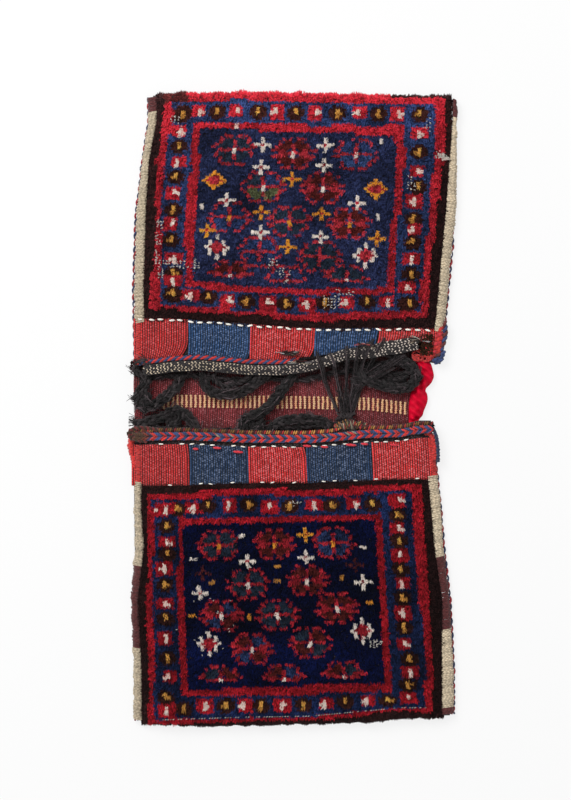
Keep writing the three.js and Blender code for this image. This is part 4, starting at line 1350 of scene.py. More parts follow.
def weave_finish(name, valley, contrast, flecks):
    material, tree, shader = finish_material(name, 0.88, 0.15)
    fibre = add_fibre(tree, yarn_dye(tree), 600, contrast)
    # how many pale flecks a place has; the flecks are partly worn fibre and partly painted highlight
    worn = tree.math("MULTIPLY", attribute(tree, "worn"), flecks)
    sockets = {"Colour": fibre.outputs["Colour"], "Valley": valley, "Flecks": worn}
    sockets.update(Warp=attribute(tree, "warp"), Weft=attribute(tree, "weft"))
    dress(tree, shader, tree.add("ShaderNodeGroup", sockets, node_tree=WEAVE), 0.5 * MM)
    return material


TAPESTRY = weave_finish("tapestry wool", valley=-0.35, contrast=1.0, flecks=5.8)
PLAIN_WEAVE = weave_finish("striped plain weave", valley=0.05, contrast=1.2, flecks=3.2)
print("finishes:", TAPESTRY.name, "/", PLAIN_WEAVE.name)

# %% Cloth grids


def grid_mesh(name, points, yarn, warp, weft, flipped=False, worn=1.0):
    rows, columns = points.shape[:2]
    index = np.arange(rows * columns).reshape(rows, columns)
    corners = [index[:-1, :-1], index[:-1, 1:], index[1:, 1:], index[1:, :-1]]
    if flipped:
        corners.reverse()
    faces = np.stack([corner.ravel() for corner in corners], -1)
    counts = {"warp": warp.ravel(), "weft": weft.ravel(), "worn": np.broadcast_to(worn, warp.shape).ravel()}
    return seed_mesh(name, points.reshape(-1, 3), (), faces.tolist(), yarn=yarn.reshape(-1, 3), **counts)


# %% [markdown]
# ## Pouch cloths
# Each pouch is one run of cloth: down the front under the pile, round the fold and back up behind. The
# front is painted dark as shade, because it only shows between tufts. Behind, it is the same madder cloth
# as the bridge, in quiet stripes. A coarse grid follows the run, and Solidify gives it the thickness of the
# cloth.

# %% Cloth of the two pouches
CLOTH_COLUMNS = 57
FRONT_ROWS = 30
FOLD_ROWS = 10
UPPER.hem = 3 * MM
LOWER.hem = 18 * MM
RIB_PITCH = 2 * MM
PICK_PITCH = 2.6 * MM
PAINTED_SHADE_UNDER_PILE = 0.15


def pouch_runs(bag):
    straight = bag.depth - CLOTH - POCKET_GAP / 2
    turn = math.pi * (CLOTH + POCKET_GAP / 2)
    front = np.linspace(-bag.hem, straight, FRONT_ROWS, endpoint=False)
    fold = straight + np.linspace(0, turn, FOLD_ROWS, endpoint=False)
    back = straight + turn + np.linspace(0, straight, FRONT_ROWS)
    return np.concatenate([front, fold, back])


def stripes(run, x, y):
    """Madder with a few browner bands, as plain weave comes from dye lots."""
    lot = 0.5 + 0.5 * np.sin(run / (23 * MM)) * np.sin(run / (61 * MM) + 1)
    lot = np.clip(lot + 0.2 * ripple(x, y, 40 * MM, 9), 0, 1)[..., None]
    return DYES["maroon"] * lot + DYES["soot"] * 1.4 * (1 - lot)


for bag in POUCHES:
    across, run = np.meshgrid(np.linspace(-HALF_WIDTH, HALF_WIDTH, CLOTH_COLUMNS), pouch_runs(bag))
    points = on_pouch(bag, across, run)
    yarn = stripes(run, points[..., 0], points[..., 1])
    # painted shade: the front under the pile is darkened, since it only shows between tufts
    yarn[run < bag.depth] *= PAINTED_SHADE_UNDER_PILE
    mesh = grid_mesh(f"{bag.name}_cloth", points, yarn, across / RIB_PITCH, run / PICK_PITCH, bag.side < 0)
    cloth = grow(f"{bag.name}_pouch_cloth", mesh, WEAVE_TREE, PLAIN_WEAVE, wall=0.9 * CLOTH, rib_height=0.0,
                 slack=0.0)
    settle(cloth, "madder_weave", f"{bag.name}_front")

# %% [markdown]
# ## The bridge
# Between the mouths the bare cloth shows. Its ribs run along the bag, dark madder in the middle and brown
# towards the mouths. It is tucked in at the right, where a strip of red cloth binds it.

# %% Bridge cloth
BRIDGE_RIB = 2.7 * MM
BRIDGE_COLUMNS = 3 * round(2 * HALF_WIDTH / BRIDGE_RIB) + 1
BRIDGE_ROWS = 20
BRIDGE_MADDER = dye(140, 42, 48)


def on_bridge(across, share, height=0.0):
    """A point of the bridge: the share goes from the upper mouth to the lower one."""
    upper_x, upper_y = place(UPPER, across, 0 * across, 0)
    lower_x, lower_y = place(LOWER, across, 0 * across, 0)
    x = upper_x + (lower_x - upper_x) * share - BRIDGE_TUCK * np.maximum(0, across) / HALF_WIDTH
    x = x - 2.4 * MM * np.maximum(0, -across / HALF_WIDTH) ** 8 * np.exp(-((share - 0.25) / 0.2) ** 2)
    y = upper_y + (lower_y - upper_y) * share
    z = CLOTH + height + 0.6 * MM * ripple(x, y, 70 * MM, 5) * np.sin(math.pi * share)
    return np.stack([x, y, z], -1)


columns = np.linspace(-HALF_WIDTH, HALF_WIDTH, BRIDGE_COLUMNS)
across, share = np.meshgrid(columns, np.linspace(1, 0, BRIDGE_ROWS))
points = on_bridge(across, share, -0.6 * MM)
madder_share = np.sin(math.pi * share) * 1.6 - 0.35 + 0.15 * ripple(across, share * 0.1, 50 * MM, 6)
madder_share = np.clip(madder_share, 0, 1)[..., None]
rib = np.arange(BRIDGE_COLUMNS) // 3
rib_shade = seeded(7).uniform(0.75, 1.25, rib[-1] + 1)[rib]
rib_shade = rib_shade * np.linspace(1.1, 0.7, BRIDGE_COLUMNS)
yarn = (BRIDGE_MADDER * madder_share + DYES["soot"] * (1 - madder_share)) * rib_shade[:, None]
mesh = grid_mesh("bridge", points, yarn, across / BRIDGE_RIB, share * BRIDGE_LENGTH / PICK_PITCH)
bridge = grow("bridge_cloth", mesh, WEAVE_TREE, PLAIN_WEAVE, wall=0.7 * CLOTH, rib_height=0.7 * MM,
              slack=0.4 * MM)
settle(bridge, "madder_weave", "woven_strip")

# %% [markdown]
# ## Tapestry squares
# Beside each mouth the front is slit tapestry, red and blue squares in turn. Where two colours meet, each
# turns back on its own warp, which leaves a slit and a thick rounded edge. So every square is its own
# ribbed sheet, with its side ribs raised.

# %% Slits and rolled edges
KILIM_RIB = 2.9 * MM
SLIT = 0.8 * MM
KILIM_ROWS = 14
KILIM_LIFT = 1.3 * MM
SLIT_ROLL = 5 * MM
SIDE_ROLL = 11 * MM
KILIM_REACH = 188 * MM
EDGE_SHADE = 0.78
EDGE_WORN = 0.55
SQUARE_WORN = 1.08
UPPER.slits = np.array([132, 186, 247, 311, 373, 440])
LOWER.slits = np.array([128, 186, 245, 303, 368, 432])
UPPER.drawn_in = np.array([8, 3, 5, 2, 0]) * MM
LOWER.drawn_in = np.array([2, 1, 3, 1, 0]) * MM
UPPER.blue_shade = 1.0
LOWER.blue_shade = 0.6


def kilim_length(bag, across):
    """How far the tapestry runs from the lip before the dark pile begins."""
    lip_y = place(bag, across, 0 * across)[1]
    sewn_x, sewn_y = place(bag, across, 0 * across + bag.kilim)
    pile_y = from_photo(0, np.interp(to_photo(sewn_x, sewn_y)[0], FRAME_COLUMNS, bag.mouth))[1]
    share = np.minimum((pile_y - lip_y) / (sewn_y - lip_y), 1)
    return bag.kilim * share + np.maximum(0, (pile_y - sewn_y) * bag.side)


def slit_places(bag):
    """Slits as shares of the tapestry's width, from where they show in the picture."""
    shares = (bag.slits - bag.slits[0]) / (bag.slits[-1] - bag.slits[0])
    return (2 * shares - 1) * KILIM_REACH


def roll_over(inward, width):
    """A rounded edge: it rises from the edge and sinks again at the given width."""
    return np.sin(math.pi * np.clip(inward / width, 0, 1))


print(len(UPPER.slits) - 1, "squares on each lip")

# %% Slit tapestry


def tapestry_square(bag, index, left, right):
    draws = seeded(80 + index + bag.side)
    is_first, is_last, is_red = index == 0, index == len(bag.slits) - 2, index % 2 == 0
    ribs = round((right - left) / KILIM_RIB)
    columns = np.linspace(left + SLIT / 2, right - SLIT / 2, 3 * ribs + 1)
    across, share = np.meshgrid(columns, np.linspace(0, 1, KILIM_ROWS))
    run = 0.3 * MM + share * (kilim_length(bag, across) + 1 * MM)
    lean = 0.9 * MM * np.sin(index * 1.7) * np.sin(math.pi * share)
    drawn = bag.drawn_in[index] * np.maximum(0, 1 - share / 0.4) ** 2
    lean = lean - drawn * (across - left) / (right - left)
    roll = roll_over(across - left, SIDE_ROLL if is_first else SLIT_ROLL)
    roll = roll + roll_over(right - across, SIDE_ROLL if is_last else SLIT_ROLL)
    points = on_pouch(bag, across + lean, run, KILIM_LIFT + 1.1 * MM * roll)
    base = DYES["kilim_red"] if is_red else DYES["kilim_blue"] * bag.blue_shade
    shade = draws.uniform(0.85, 1.15, ribs + 1)[np.arange(3 * ribs + 1) // 3]
    # painted light: the rolled edges are made lighter along their rounded tops
    shade = shade * draws.uniform(0.93, 1.07, (KILIM_ROWS, 1)) * (0.95 + 0.25 * roll)
    shade = shade * (1 + 0.12 * ripple(points[..., 0], points[..., 1], 35 * MM, 21))
    shade = shade * (EDGE_SHADE if is_first else 1)
    # fewer pale flecks on the rolled edges; the flecks are partly wear and partly painted highlight
    worn = (1 - 0.75 * np.minimum(roll, 1)) * (EDGE_WORN if is_first else SQUARE_WORN)
    name = f"{bag.name}_kilim_square_{index + 1}"
    mesh = grid_mesh(name, points, base * shade[..., None], (across - left) / KILIM_RIB, run / PICK_PITCH,
                     bag.side < 0, worn)
    square = grow(name + "_weave", mesh, WEAVE_TREE, TAPESTRY, wall=1.2 * MM, rib_height=1.0 * MM,
                  slack=0.7 * MM)
    settle(square, "red_tapestry" if is_red else "blue_tapestry", name)


for bag in POUCHES:
    places = slit_places(bag)
    for index, (left, right) in enumerate(zip(places, places[1:])):
        tapestry_square(bag, index, left, right)

# %% [markdown]
# ## Wrapped edges
# The long sides of each pouch are wrapped with thick yarn over the outermost warps. Most of it is undyed
# ivory, with dark stretches where another yarn was at hand. Each turn of yarn is a short strand that climbs
# over the edge, and the turns lie side by side all the way to the fold.

# %% Edges of the pouches
WRAP_PITCH = 1.9 * MM
WRAP_YARN = 1.2 * MM
WRAPPED_PILE_AT = 180 * MM
SIDE_ROLL_WIDTH = 8 * MM
PINCH = {-1: 0.02, 1: 0.1}
# Painted light: the undyed wraps on the right are made lighter, against the shade the upper-left lamp leaves
# there.
UNDYED_PAINTED_LIGHT = {-1: 1, 1: 1.3}
HANDS = ((-1, "left"), (1, "right"))
UPPER.dark_wraps = {-1: [(0, 111)], 1: [(0, 116)]}
LOWER.dark_wraps = {-1: [(566, 649)], 1: [(557, 630), (708, 730)]}


def across_at(bag, px, run):
    """How far across the cloth a place in the picture is, at some run from the lip."""
    share = np.minimum(run, bag.depth) / bag.depth
    x = from_photo(px, 0)[0]
    return (x - quadratic(bag.shift, share)) / (1 + quadratic(bag.stretch, share) / (2 * HALF_WIDTH))


def side_edges(bag, hand, run):
    """The inner and outer edges of the wrapping, as distances across the cloth."""
    py = to_photo(*place(bag, hand * HALF_WIDTH + 0 * run, np.minimum(run, bag.depth)))[1]
    beyond = py - bag.frame_rows[-1] if bag is UPPER else bag.frame_rows[0] - py
    pinch = hand * PINCH[hand] * np.maximum(beyond, 0)
    pile = bag.lefts[0] if hand < 0 else bag.rights[0]
    inner = hand * across_at(bag, np.interp(py, bag.frame_rows, pile) - pinch, run)
    outer = hand * across_at(bag, np.interp(py, bag.frame_rows, bag.outline[hand]) - pinch, run)
    return inner, outer


# %% Selvedge wraps


def wrap_turn(bag, hand, run, inner, outer, draws):
    """One turn of yarn that climbs over the edge and comes down beside the cloth."""
    turn = np.linspace(0, math.pi, 8)
    across = (inner + outer) / 2 - (outer - inner) / 2 * np.cos(turn)
    slant = run + draws.uniform(0.5, 1.1) * MM * np.cos(turn) + draws.normal(0, 0.12) * MM
    line = on_pouch(bag, hand * across, slant)
    rise = (2.4 + draws.uniform(-0.5, 0.5)) * MM * np.sin(turn) + 1.2 * MM
    drop = np.clip((turn - 1.9) / (math.pi - 1.9), 0, 1) ** 2
    line[:, 2] = (line[:, 2] + rise) * (1 - drop) + 2.4 * MM * drop
    return line


def selvedge(bag, hand):
    draws = seeded(100 + hand + 3 * bag.side)
    start = float(kilim_length(bag, np.array([hand * WRAPPED_PILE_AT]))[0])
    strands = []
    for run in np.arange(2 * MM, bag.depth - 3 * MM, WRAP_PITCH):
        inner, outer = side_edges(bag, hand, run)
        on_tapestry = run < start - 3 * MM
        inner = outer - SIDE_ROLL_WIDTH if on_tapestry else inner - 1.5 * MM
        wander = 0.7 * MM * float(ripple(run, 0, 22 * MM, 19 + hand))
        outer = outer - 1.4 * MM + draws.normal(0, 0.35) * MM + wander
        line = wrap_turn(bag, hand, run, inner, outer, draws)
        py = to_photo(*line[4, :2])[1]
        dark = any(low < py < high for low, high in bag.dark_wraps[hand])
        colour = DYES["maroon"] * 0.8 if dark else DYES["undyed"] * UNDYED_PAINTED_LIGHT[hand]
        if on_tapestry:
            colour = DYES["brick"] * 0.85
        strands.append((line, colour * draws.uniform(0.78, 1.12), WRAP_YARN))
    return strands


for bag in POUCHES:
    for hand, side in HANDS:
        name = f"{bag.name}_{side}_selvedge"
        strand_piece(name + "_wraps", selvedge(bag, hand), YARN, 5, "ivory_wrap", name)

# %% [markdown]
# ## Side seams
# Front and back are laced together down each side with red and blue yarn. From above, the lacing peeps out
# beside the wrapped edge as small dashes of colour, and in some stretches it is hidden under the wrapping.
# Two strands wind round one line, half a turn apart.

# %% Laced seams
SEAM_HEIGHT = 3.4 * MM
SEAM_PITCH = 17 * MM
SEAM_SWING = 1.7 * MM
UPPER.lacing = {-1: ((120, 195, 215), (-0.6, -0.2, 0.9)), 1: ((225, 245), (-2.4, 0.5))}
LOWER.lacing = {-1: ((480, 720), (-2.6, -2.6)), 1: ((480, 590, 625, 660), (-0.4, 0.8, 0.8, 0))}


def laced_seam(bag, hand):
    run = np.arange(0, bag.depth - 2 * MM, 1.8 * MM)
    outer = side_edges(bag, hand, run)[1] - 1.6 * MM
    py = to_photo(*on_pouch(bag, hand * outer, run)[:, :2].T)[1]
    path = on_pouch(bag, hand * (outer + MM * np.interp(py, *bag.lacing[hand])), run)
    path[:, 2] = SEAM_HEIGHT
    at = path_frame(path)
    thick = (1.3 + 0.4 * ripple(run, 0 * run, 25 * MM, 17)) * MM
    strands = []
    for start, shade in ((0, DYES["red"] * 0.5), (math.pi, DYES["navy"])):
        turn = (2 * math.pi * run / SEAM_PITCH + start)[:, None]
        swing = SEAM_SWING * np.cos(turn) * at.side + SEAM_SWING * np.sin(turn) * at.up
        strands.append((path + swing, shade, thick))
    return strands


for bag in POUCHES:
    for hand, side in HANDS:
        name = f"{bag.name}_{side}_seam"
        strand_piece(name + "_lacing", laced_seam(bag, hand), YARN, 5, "red_blue_cord", name)

# %% [markdown]
# ## Stitches
# Braids, overcasting and running stitches all show as short plump bits of yarn. One tree sets such a grain
# on every point. Three attributes turn and size it: which way it lies, which way it faces, and its length,
# width and thickness.

# %% The stitch tree


def stitch_tree():
    tree, given = geometry_tree("stitches", round=6)
    grain = tree.out("GeometryNodeMeshUVSphere", {"Segments": given["Round"], "Rings": 4, "Radius": 0.5})
    grain = tree.out("GeometryNodeTransform", {"Geometry": grain, "Rotation": (0, math.pi / 2, 0)})
    apart = tree.add("ShaderNodeSeparateXYZ", {0: tree.out("GeometryNodeInputPosition")}).outputs
    grain = store(tree, grain, "run", tree.math("MULTIPLY", apart[0], 12 * MM))
    grain = store(tree, grain, "turn", apart[1])
    lie, face, size = (named(tree, label, "FLOAT_VECTOR") for label in ("lie", "face", "size"))
    axes = {"Primary Axis": lie, "Secondary Axis": face}
    rotation = tree.out("FunctionNodeAxesToRotation", axes, primary_axis="X", secondary_axis="Z")
    return close_tree(tree, given, on_points(tree, given, grain, rotation, size))


STITCHES = stitch_tree()
UPWARDS = (0, 0, 1)
print("the stitch tree has", len(STITCHES.nodes), "nodes")

# %% Rows of stitches


class Stitching:
    """Stitches gathered one row at a time, then grown as one piece."""

    def __init__(self):
        self.rows = []

    def row(self, points, lie, face, size, colours):
        count = len(points)
        spread = [np.broadcast_to(values, (count, 3)) for values in (lie, face, size, colours)]
        self.rows.append((points, *spread))

    def grow(self, name, slot, *nodes):
        points, lie, face, size, yarn = (np.vstack(column) for column in zip(*self.rows))
        mesh = seed_mesh(name, points, lie=lie, face=face, size=size, yarn=yarn)
        return settle(grow(name, mesh, STITCHES, YARN, round=6), slot, *nodes)


def stations(path, pitch, start=0.5):
    """Evenly spaced places along a path, with the directions there."""
    at = path_frame(path)
    runs = np.arange(start * pitch, at.run[-1], pitch)

    def take(values):
        return np.stack([np.interp(runs, at.run, values[:, i]) for i in range(3)], -1)

    return SimpleNamespace(path=take(path), forward=take(at.forward), side=take(at.side), up=take(at.up),
                           run=runs)


def slanted(at, degrees):
    turn = math.radians(degrees)
    return at.forward * math.cos(turn) + at.side * math.sin(turn)


def in_turn(count, *names):
    return np.array([DYES[names[i % len(names)]] for i in range(count)])


def photo_columns(points):
    return to_photo(points[:, 0], points[:, 1])[0]


def lip_path(bag, start, stop, offset, height):
    across = np.linspace(start, stop, round((stop - start) / (3 * MM)) + 1)
    x, y = place(bag, across, 0 * across)
    return np.stack([x, y - bag.side * offset(across), np.full(len(across), height)], -1)


# %% [markdown]
# ## Trims of the upper mouth
# A red and blue twist lies along the left part of the lip. Its plies are long slanted grains over darker
# ones, a blue painted dark as the shade between them.

# %% Red and blue twist
TWIST_WIDTH = 7 * MM
TWIST_END = 10 * MM
TWIST_TAPER = 50 * MM
twist_path = lip_path(UPPER, -HALF_WIDTH, TWIST_END, lambda across: TWIST_WIDTH / 2 - 1 * MM,
                      TRIM_FLOOR + TWIST_WIDTH / 2)
at = stations(twist_path, 5 * MM)
count = len(at.run)
shades = seeded(130).uniform(0.85, 1.15, (count, 1))
twist = Stitching()
twist.row(at.path + at.up * 0.8 * MM, slanted(at, 27), at.up, (12.5 * MM, 3.8 * MM, 5 * MM),
          in_turn(count, "brick", "royal") * shades * 0.85)
# painted shade: the lower grains are the same blue at half strength
twist.row(at.path - at.up * 1.6 * MM, slanted(at, 20), at.up, (12 * MM, 6 * MM, 5 * MM), DYES["royal"] * 0.5)
twist.grow("upper_mouth_twist_plies", "red_blue_cord", "upper_mouth_twist")

# %% [markdown]
# ## Mottled braid
# Next to the twist runs a thick braid of ivory and black hair, which climbs to the right where the lip is
# drawn up and spreads there. Ivory grains peep out between larger dark ones, in rows that slant left and
# right in turn over a rounded back. Two thick dark strands fill it, so that no cloth shows between the
# grains.

# %% Mottled braid
MOTTLE_ROWS = 6
MOTTLE_PITCH = 2.1 * MM
MOTTLE_SLANT = 38
PALE_CHANCE = 0.74
PALE_GRAIN = np.array([2.6, 1.5, 2.4]) * MM
DARK_GRAIN = np.array([4.6, 2.6, 2.0]) * MM
MOTTLE_TINTS = np.array([dye(255, 234, 204), dye(250, 230, 214), dye(255, 238, 224)])
TINTS_AT = np.array([100, 180, 260]) * MM
BRAID_LEVEL = TRIM_FLOOR + BRAID_HEIGHT / 2
BRAID_BROAD = ((325, 365, 395, 418), (1, 1.3, 1.6, 1.35))
BRAID_TAIL = ((406, 345), (412, 344), (418, 343.5))


def twist_room(across):
    share = np.clip((across - TWIST_END) / TWIST_TAPER, 0, 1)
    share = share * share * (3 - 2 * share)
    return (TWIST_WIDTH - 1 * MM) * (1 - share)


along_lip = lip_path(UPPER, 9 * MM - HALF_WIDTH, LIP_LIFT_AT + 6 * MM,
                     lambda across: twist_room(across) + BRAID_WIDTH / 2, BRAID_LEVEL)
braid_path = smooth_path(np.vstack([along_lip[:-2], photo_route(BRAID_TAIL, BRAID_LEVEL)]), 3 * MM)
draws = seeded(131)
braid = Stitching()
for row in range(MOTTLE_ROWS):
    out = ((row + 0.5) / MOTTLE_ROWS * 2 - 1) * 0.85
    lift = math.sqrt(1 - out * out)
    at = stations(braid_path, MOTTLE_PITCH, 0.5 + 0.5 * (row % 2))
    count = len(at.run)
    broad = np.interp(photo_columns(at.path), *BRAID_BROAD)[:, None]
    points = at.path + at.side * out * broad * BRAID_WIDTH / 2 + at.up * lift * BRAID_HEIGHT / 2
    points += draws.normal(0, 0.2, (count, 3)) * MM
    tint = np.stack([np.interp(at.run, TINTS_AT, MOTTLE_TINTS[:, i]) for i in range(3)], -1)
    pale = (((np.arange(count) + row) % 2 == 0) & (draws.random(count) < PALE_CHANCE))[:, None]
    colours = np.where(pale, tint, DYES["goat"] * 0.9) * draws.uniform(0.6, 1.2, (count, 1))
    size = np.where(pale, PALE_GRAIN, DARK_GRAIN) * (0.75 + 0.25 * broad)
    slant = MOTTLE_SLANT if row % 2 else -MOTTLE_SLANT
    braid.row(points, slanted(at, slant), at.up * lift + at.side * out, size, colours)
braid.grow("upper_mouth_braid_grains", "mottled_braid", "upper_mouth_braid")

broad = np.interp(photo_columns(braid_path), *BRAID_BROAD)
cores = []
for side in (-2.6, 2.6):
    line = braid_path + np.outer(broad, (0, side, 0)) * MM - (0, 0, 0.6 * MM)
    cores.append((line, DYES["goat"] * 0.7, 3.7 * MM * broad ** 0.5))
strand_piece("upper_mouth_braid_core", cores, GOAT, 8, "mottled_braid", "upper_mouth_braid")

# %% [markdown]
# ## Worn places of the braid
# In four places the braid is rubbed open, and pale, brown and black hairs stand up from it. They are the
# locks that the loops have, along a short line across each place.

# %% Worn places of the braid
WORN_PLACES = ((289, 353, 120), (366, 345, 60), (416, 340, 40), (300, 362, 50))
draws = seeded(134)
rubbed_hairs = []
for px, py, count in WORN_PLACES:
    line = photo_route([(px + step, py) for step in (-9, -3, 3, 9)], TRIM_FLOOR + BRAID_HEIGHT)
    path = smooth_path(line, 3 * MM)
    rubbed_hairs += stray_hairs(path, count, 1.5 * MM, 8 * MM, draws, ("ash", "goat", "walnut"))
strand_piece("worn_braid_hairs", rubbed_hairs, GOAT, 3, "goat_hair")

# %% [markdown]
# ## The drawn-up corner
# At the right the lip was drawn up and made fast. A thick cord of red and blue yarn is overcast down the
# corner, with loops of spare red yarn beside it and a patch of brown pile where the mouth wore through.

# %% Corner cord and yarn loops
CORNER = [(444.5, 321), (446, 328), (445.5, 336), (443, 345), (439, 354), (434.5, 361)]
CORNER_TIP = [(444, 351), (442, 358.5), (435, 362.5)]
CORNER_HEIGHT = 9 * MM
CORD_STEP = 1.8 * MM
SPARE_LOOPS = 9


def spare_loop(draws):
    """A loose ring of red yarn, open or nearly closed, that lies beside the corner."""
    px, py = draws.uniform(411, 434), draws.uniform(351, 359)
    middle = np.array((*from_photo(px, py), CORNER_HEIGHT + 2 * MM))
    turn = np.linspace(0, draws.uniform(3.5, 6), 12) + draws.uniform(0, 6)
    wide, tall = draws.uniform(3, 7) * MM, draws.uniform(2, 4) * MM
    ring = np.stack([wide * np.cos(turn), tall * np.sin(turn), 1.5 * MM * np.sin(2 * turn)], -1)
    return middle + ring, DYES["brick"] * draws.uniform(0.7, 1), 1.3 * MM


draws = seeded(135)
outer_cord = smooth_path(photo_route(CORNER, CORNER_HEIGHT), CORD_STEP)
at = path_frame(outer_cord)
inner_cord = (outer_cord - at.side * 6.5 * MM + at.up * 1 * MM)[4:]
cords = two_ply(inner_cord, 4.2 * MM, 11 * MM, (DYES["brick"] * 0.9, DYES["red"] * 0.8), draws)
cords += two_ply(outer_cord, 3.6 * MM, 13 * MM, (DYES["maroon"], DYES["royal"] * 0.8), draws)
cords += [spare_loop(draws) for _ in range(SPARE_LOOPS)]
tip_cord = smooth_path(photo_route(CORNER_TIP, CORNER_HEIGHT), CORD_STEP)
cords += two_ply(tip_cord, 3.4 * MM, 9 * MM, (DYES["royal"], DYES["royal"] * 0.7), draws)
strand_piece("corner_cord", cords, YARN, 6, "red_blue_cord")

# %% Patches of brown pile
# Left, right, top and bottom in the picture, how many tufts, and their dye.
PATCHES = [
    (420, 433, 334, 355, 170, "umber"),
    (130, 138, 361, 371, 36, "soot"),
    (427, 434, 423, 429, 60, "goat"),
]
spots, tints = [], []
for left, right, top, bottom, count, name in PATCHES:
    x, y = from_photo(draws.uniform(left, right, count), draws.uniform(top, bottom, count))
    spots.append(np.stack([x, y, np.full(count, TRIM_FLOOR + 2 * MM)], -1))
    tints.append(DYES[name] * draws.uniform(0.6, 1.6, (count, 1)))
spots = np.vstack(spots)
stand = UPWARDS + draws.normal(0, 0.45, spots.shape) * (1, 1, 0)
trim = draws.uniform(0.5, 0.9, len(spots))
mesh = seed_mesh("corner pile", spots, yarn=np.vstack(tints), trim=trim, stand=stand)
settle(grow("corner_pile_tufts", mesh, PILE_TREE, PILE, seed=9), "brown_pile")

# %% [markdown]
# ## Trims of the lower mouth
# The lower lip has a flat braid whose red and blue strands meet in arrowheads. On its bridge side it is
# overcast with orange and dark yarn.

# %% Arrowhead braid
CHEVRON_AWAY = 9.5 * MM
CHEVRON_PITCH = 2.7 * MM
BRAIDED = ((142, 156), (0, 1))
chevron = Stitching()
path = lip_path(LOWER, -HALF_WIDTH, HALF_WIDTH, lambda across: CHEVRON_AWAY, BRAID_LEVEL)
draws = seeded(132)
for hand in (-1, 1):
    at = stations(path, CHEVRON_PITCH)
    count = len(at.run)
    points = at.path + at.side * hand * 2.5 * MM + at.up * 2 * MM
    colours = in_turn(count, "brick", "brick", "royal", "royal") * draws.uniform(0.6, 1.25, (count, 1))
    colours = np.where(draws.random((count, 1)) < 0.03, DYES["undyed"] * 0.6, colours)
    braided = np.interp(photo_columns(at.path), *BRAIDED)[:, None]
    colours = DYES["umber"] * 1.8 * (1 - braided) + colours * braided
    points = points + draws.normal(0, 0.35, (count, 3)) * MM
    face = at.up + at.side * hand * 0.35
    chevron.row(points, slanted(at, -hand * 33), face, (9 * MM, 2.5 * MM, 3.4 * MM), colours)
    # painted shade: the grains below are the same blue at 0.4, the shade between the arrowheads
    chevron.row(points - at.up * 2.2 * MM, at.forward, at.up, (6 * MM, 6 * MM, 4 * MM), DYES["royal"] * 0.4)
chevron.grow("lower_mouth_braid_arrowheads", "red_blue_cord", "lower_mouth_braid")

# %% Overcast edging
EDGING_AWAY = 17 * MM
EDGING_WIDTH = 6 * MM
EDGING_PITCH = 2.7 * MM
EDGING_BRIGHT = ((128, 150, 165, 230, 300, 345, 380, 430), (0.9, 0.8, 0.35, 0.5, 1.35, 1.35, 0.9, 0.4))
MOUND_AT = 82 * MM
MOUND_WIDTH = 13 * MM
MOUND_RISE = 9 * MM


def edging_away(across):
    return EDGING_AWAY + MOUND_RISE * np.exp(-((across - MOUND_AT) / MOUND_WIDTH) ** 2)


edging = Stitching()
edging_path = lip_path(LOWER, -HALF_WIDTH, HALF_WIDTH, edging_away, TRIM_FLOOR + EDGING_WIDTH / 2)
at = stations(edging_path, EDGING_PITCH)
count = len(at.run)
bright = np.interp(photo_columns(at.path), *EDGING_BRIGHT)[:, None]
colours = in_turn(count, "ochre", "walnut", "brick", "ochre") * draws.uniform(0.5, 1.1, (count, 1)) * bright
edging.row(at.path + at.up * 1 * MM, slanted(at, 68), at.up, (6 * MM, 2.5 * MM, 4 * MM), colours)
edging.row(at.path - at.up * 1 * MM, at.forward, at.up, (5 * MM, 5 * MM, 4 * MM), DYES["soot"])
edging.grow("lower_mouth_edging_overcast", "orange_wool", "lower_mouth_edging")

# %% [markdown]
# ## Worn yarn and the ends of the lower lip
# Where the edging rises in a mound, many ends of old yarn stick out of it: short bent strands in all the
# dyes, longest in the middle. At both ends of the lip the edging turns the corner, as thick plies of brown
# at the left and of blue and red at the right.

# %% Mound of worn yarn
MOUND_ENDS = 110
MOUND_FOOT = (351, 430)
MOUND_DYES = ("umber", "brick", "walnut", "olive", "ochre", "undyed", "soot", "walnut", "maroon")
ALONG_THE_END = np.array([0, 0.5, 0.9, 1])[:, None]
BENT_UP = np.array([0, 1.5, 1.2, 0])[:, None] * (0, 0, MM)
draws = seeded(136)
yarn_ends = []
for _ in range(MOUND_ENDS):
    foot, lean = draws.uniform(-1, 1), draws.normal(0, 0.25)
    px, py = MOUND_FOOT[0] + 15 * foot, MOUND_FOOT[1] - 4 * draws.random()
    root = np.array((*from_photo(px, py), TRIM_FLOOR + 3 * MM))
    reach = (1.15 - 0.7 * abs(foot)) * draws.uniform(5, 10) * MM
    line = root + ALONG_THE_END * (np.array([0.5 * foot + lean, 0.9, 0.35]) * reach) + BENT_UP
    yarn_ends.append((line, DYES[draws.choice(MOUND_DYES)] * draws.uniform(0.4, 1), 0.75 * MM))
strand_piece("mound_yarn", yarn_ends, YARN, 4, "orange_wool")

# %% Ends of the lower lip
LIP_END = [(158, 430), (146, 428.5), (135, 428.5), (129.5, 431.5), (129, 436), (134, 439.5), (146, 441)]
LIP_FILL = [(150, 433), (140, 432.5), (132.5, 433.5), (131.8, 437), (140, 438.5)]
SIDE_END = [(131, 439), (130, 445), (131, 451), (133, 458), (134.5, 468)]
RIGHT_END = [(427, 426.5), (432.5, 428), (435.5, 433), (437.5, 441), (438.5, 452), (438.5, 462)]
RIGHT_FILL = [(426, 433), (431, 434), (433.5, 440), (435, 448), (435, 460)]
LIP_ENDS = [
    (LIP_END, TRIM_FLOOR + 4 * MM, 3.2 * MM, ("umber", "walnut")),
    (LIP_FILL, TRIM_FLOOR + 3 * MM, 3.4 * MM, ("walnut", "umber")),
    (RIGHT_END, TRIM_FLOOR + 2 * MM, 2.6 * MM, ("navy", "teal")),
    (RIGHT_FILL, TRIM_FLOOR, 3.6 * MM, ("brick", "brick")),
    (SIDE_END, 6 * MM, 4.6 * MM, ("brick", "brick")),
]
plies = []
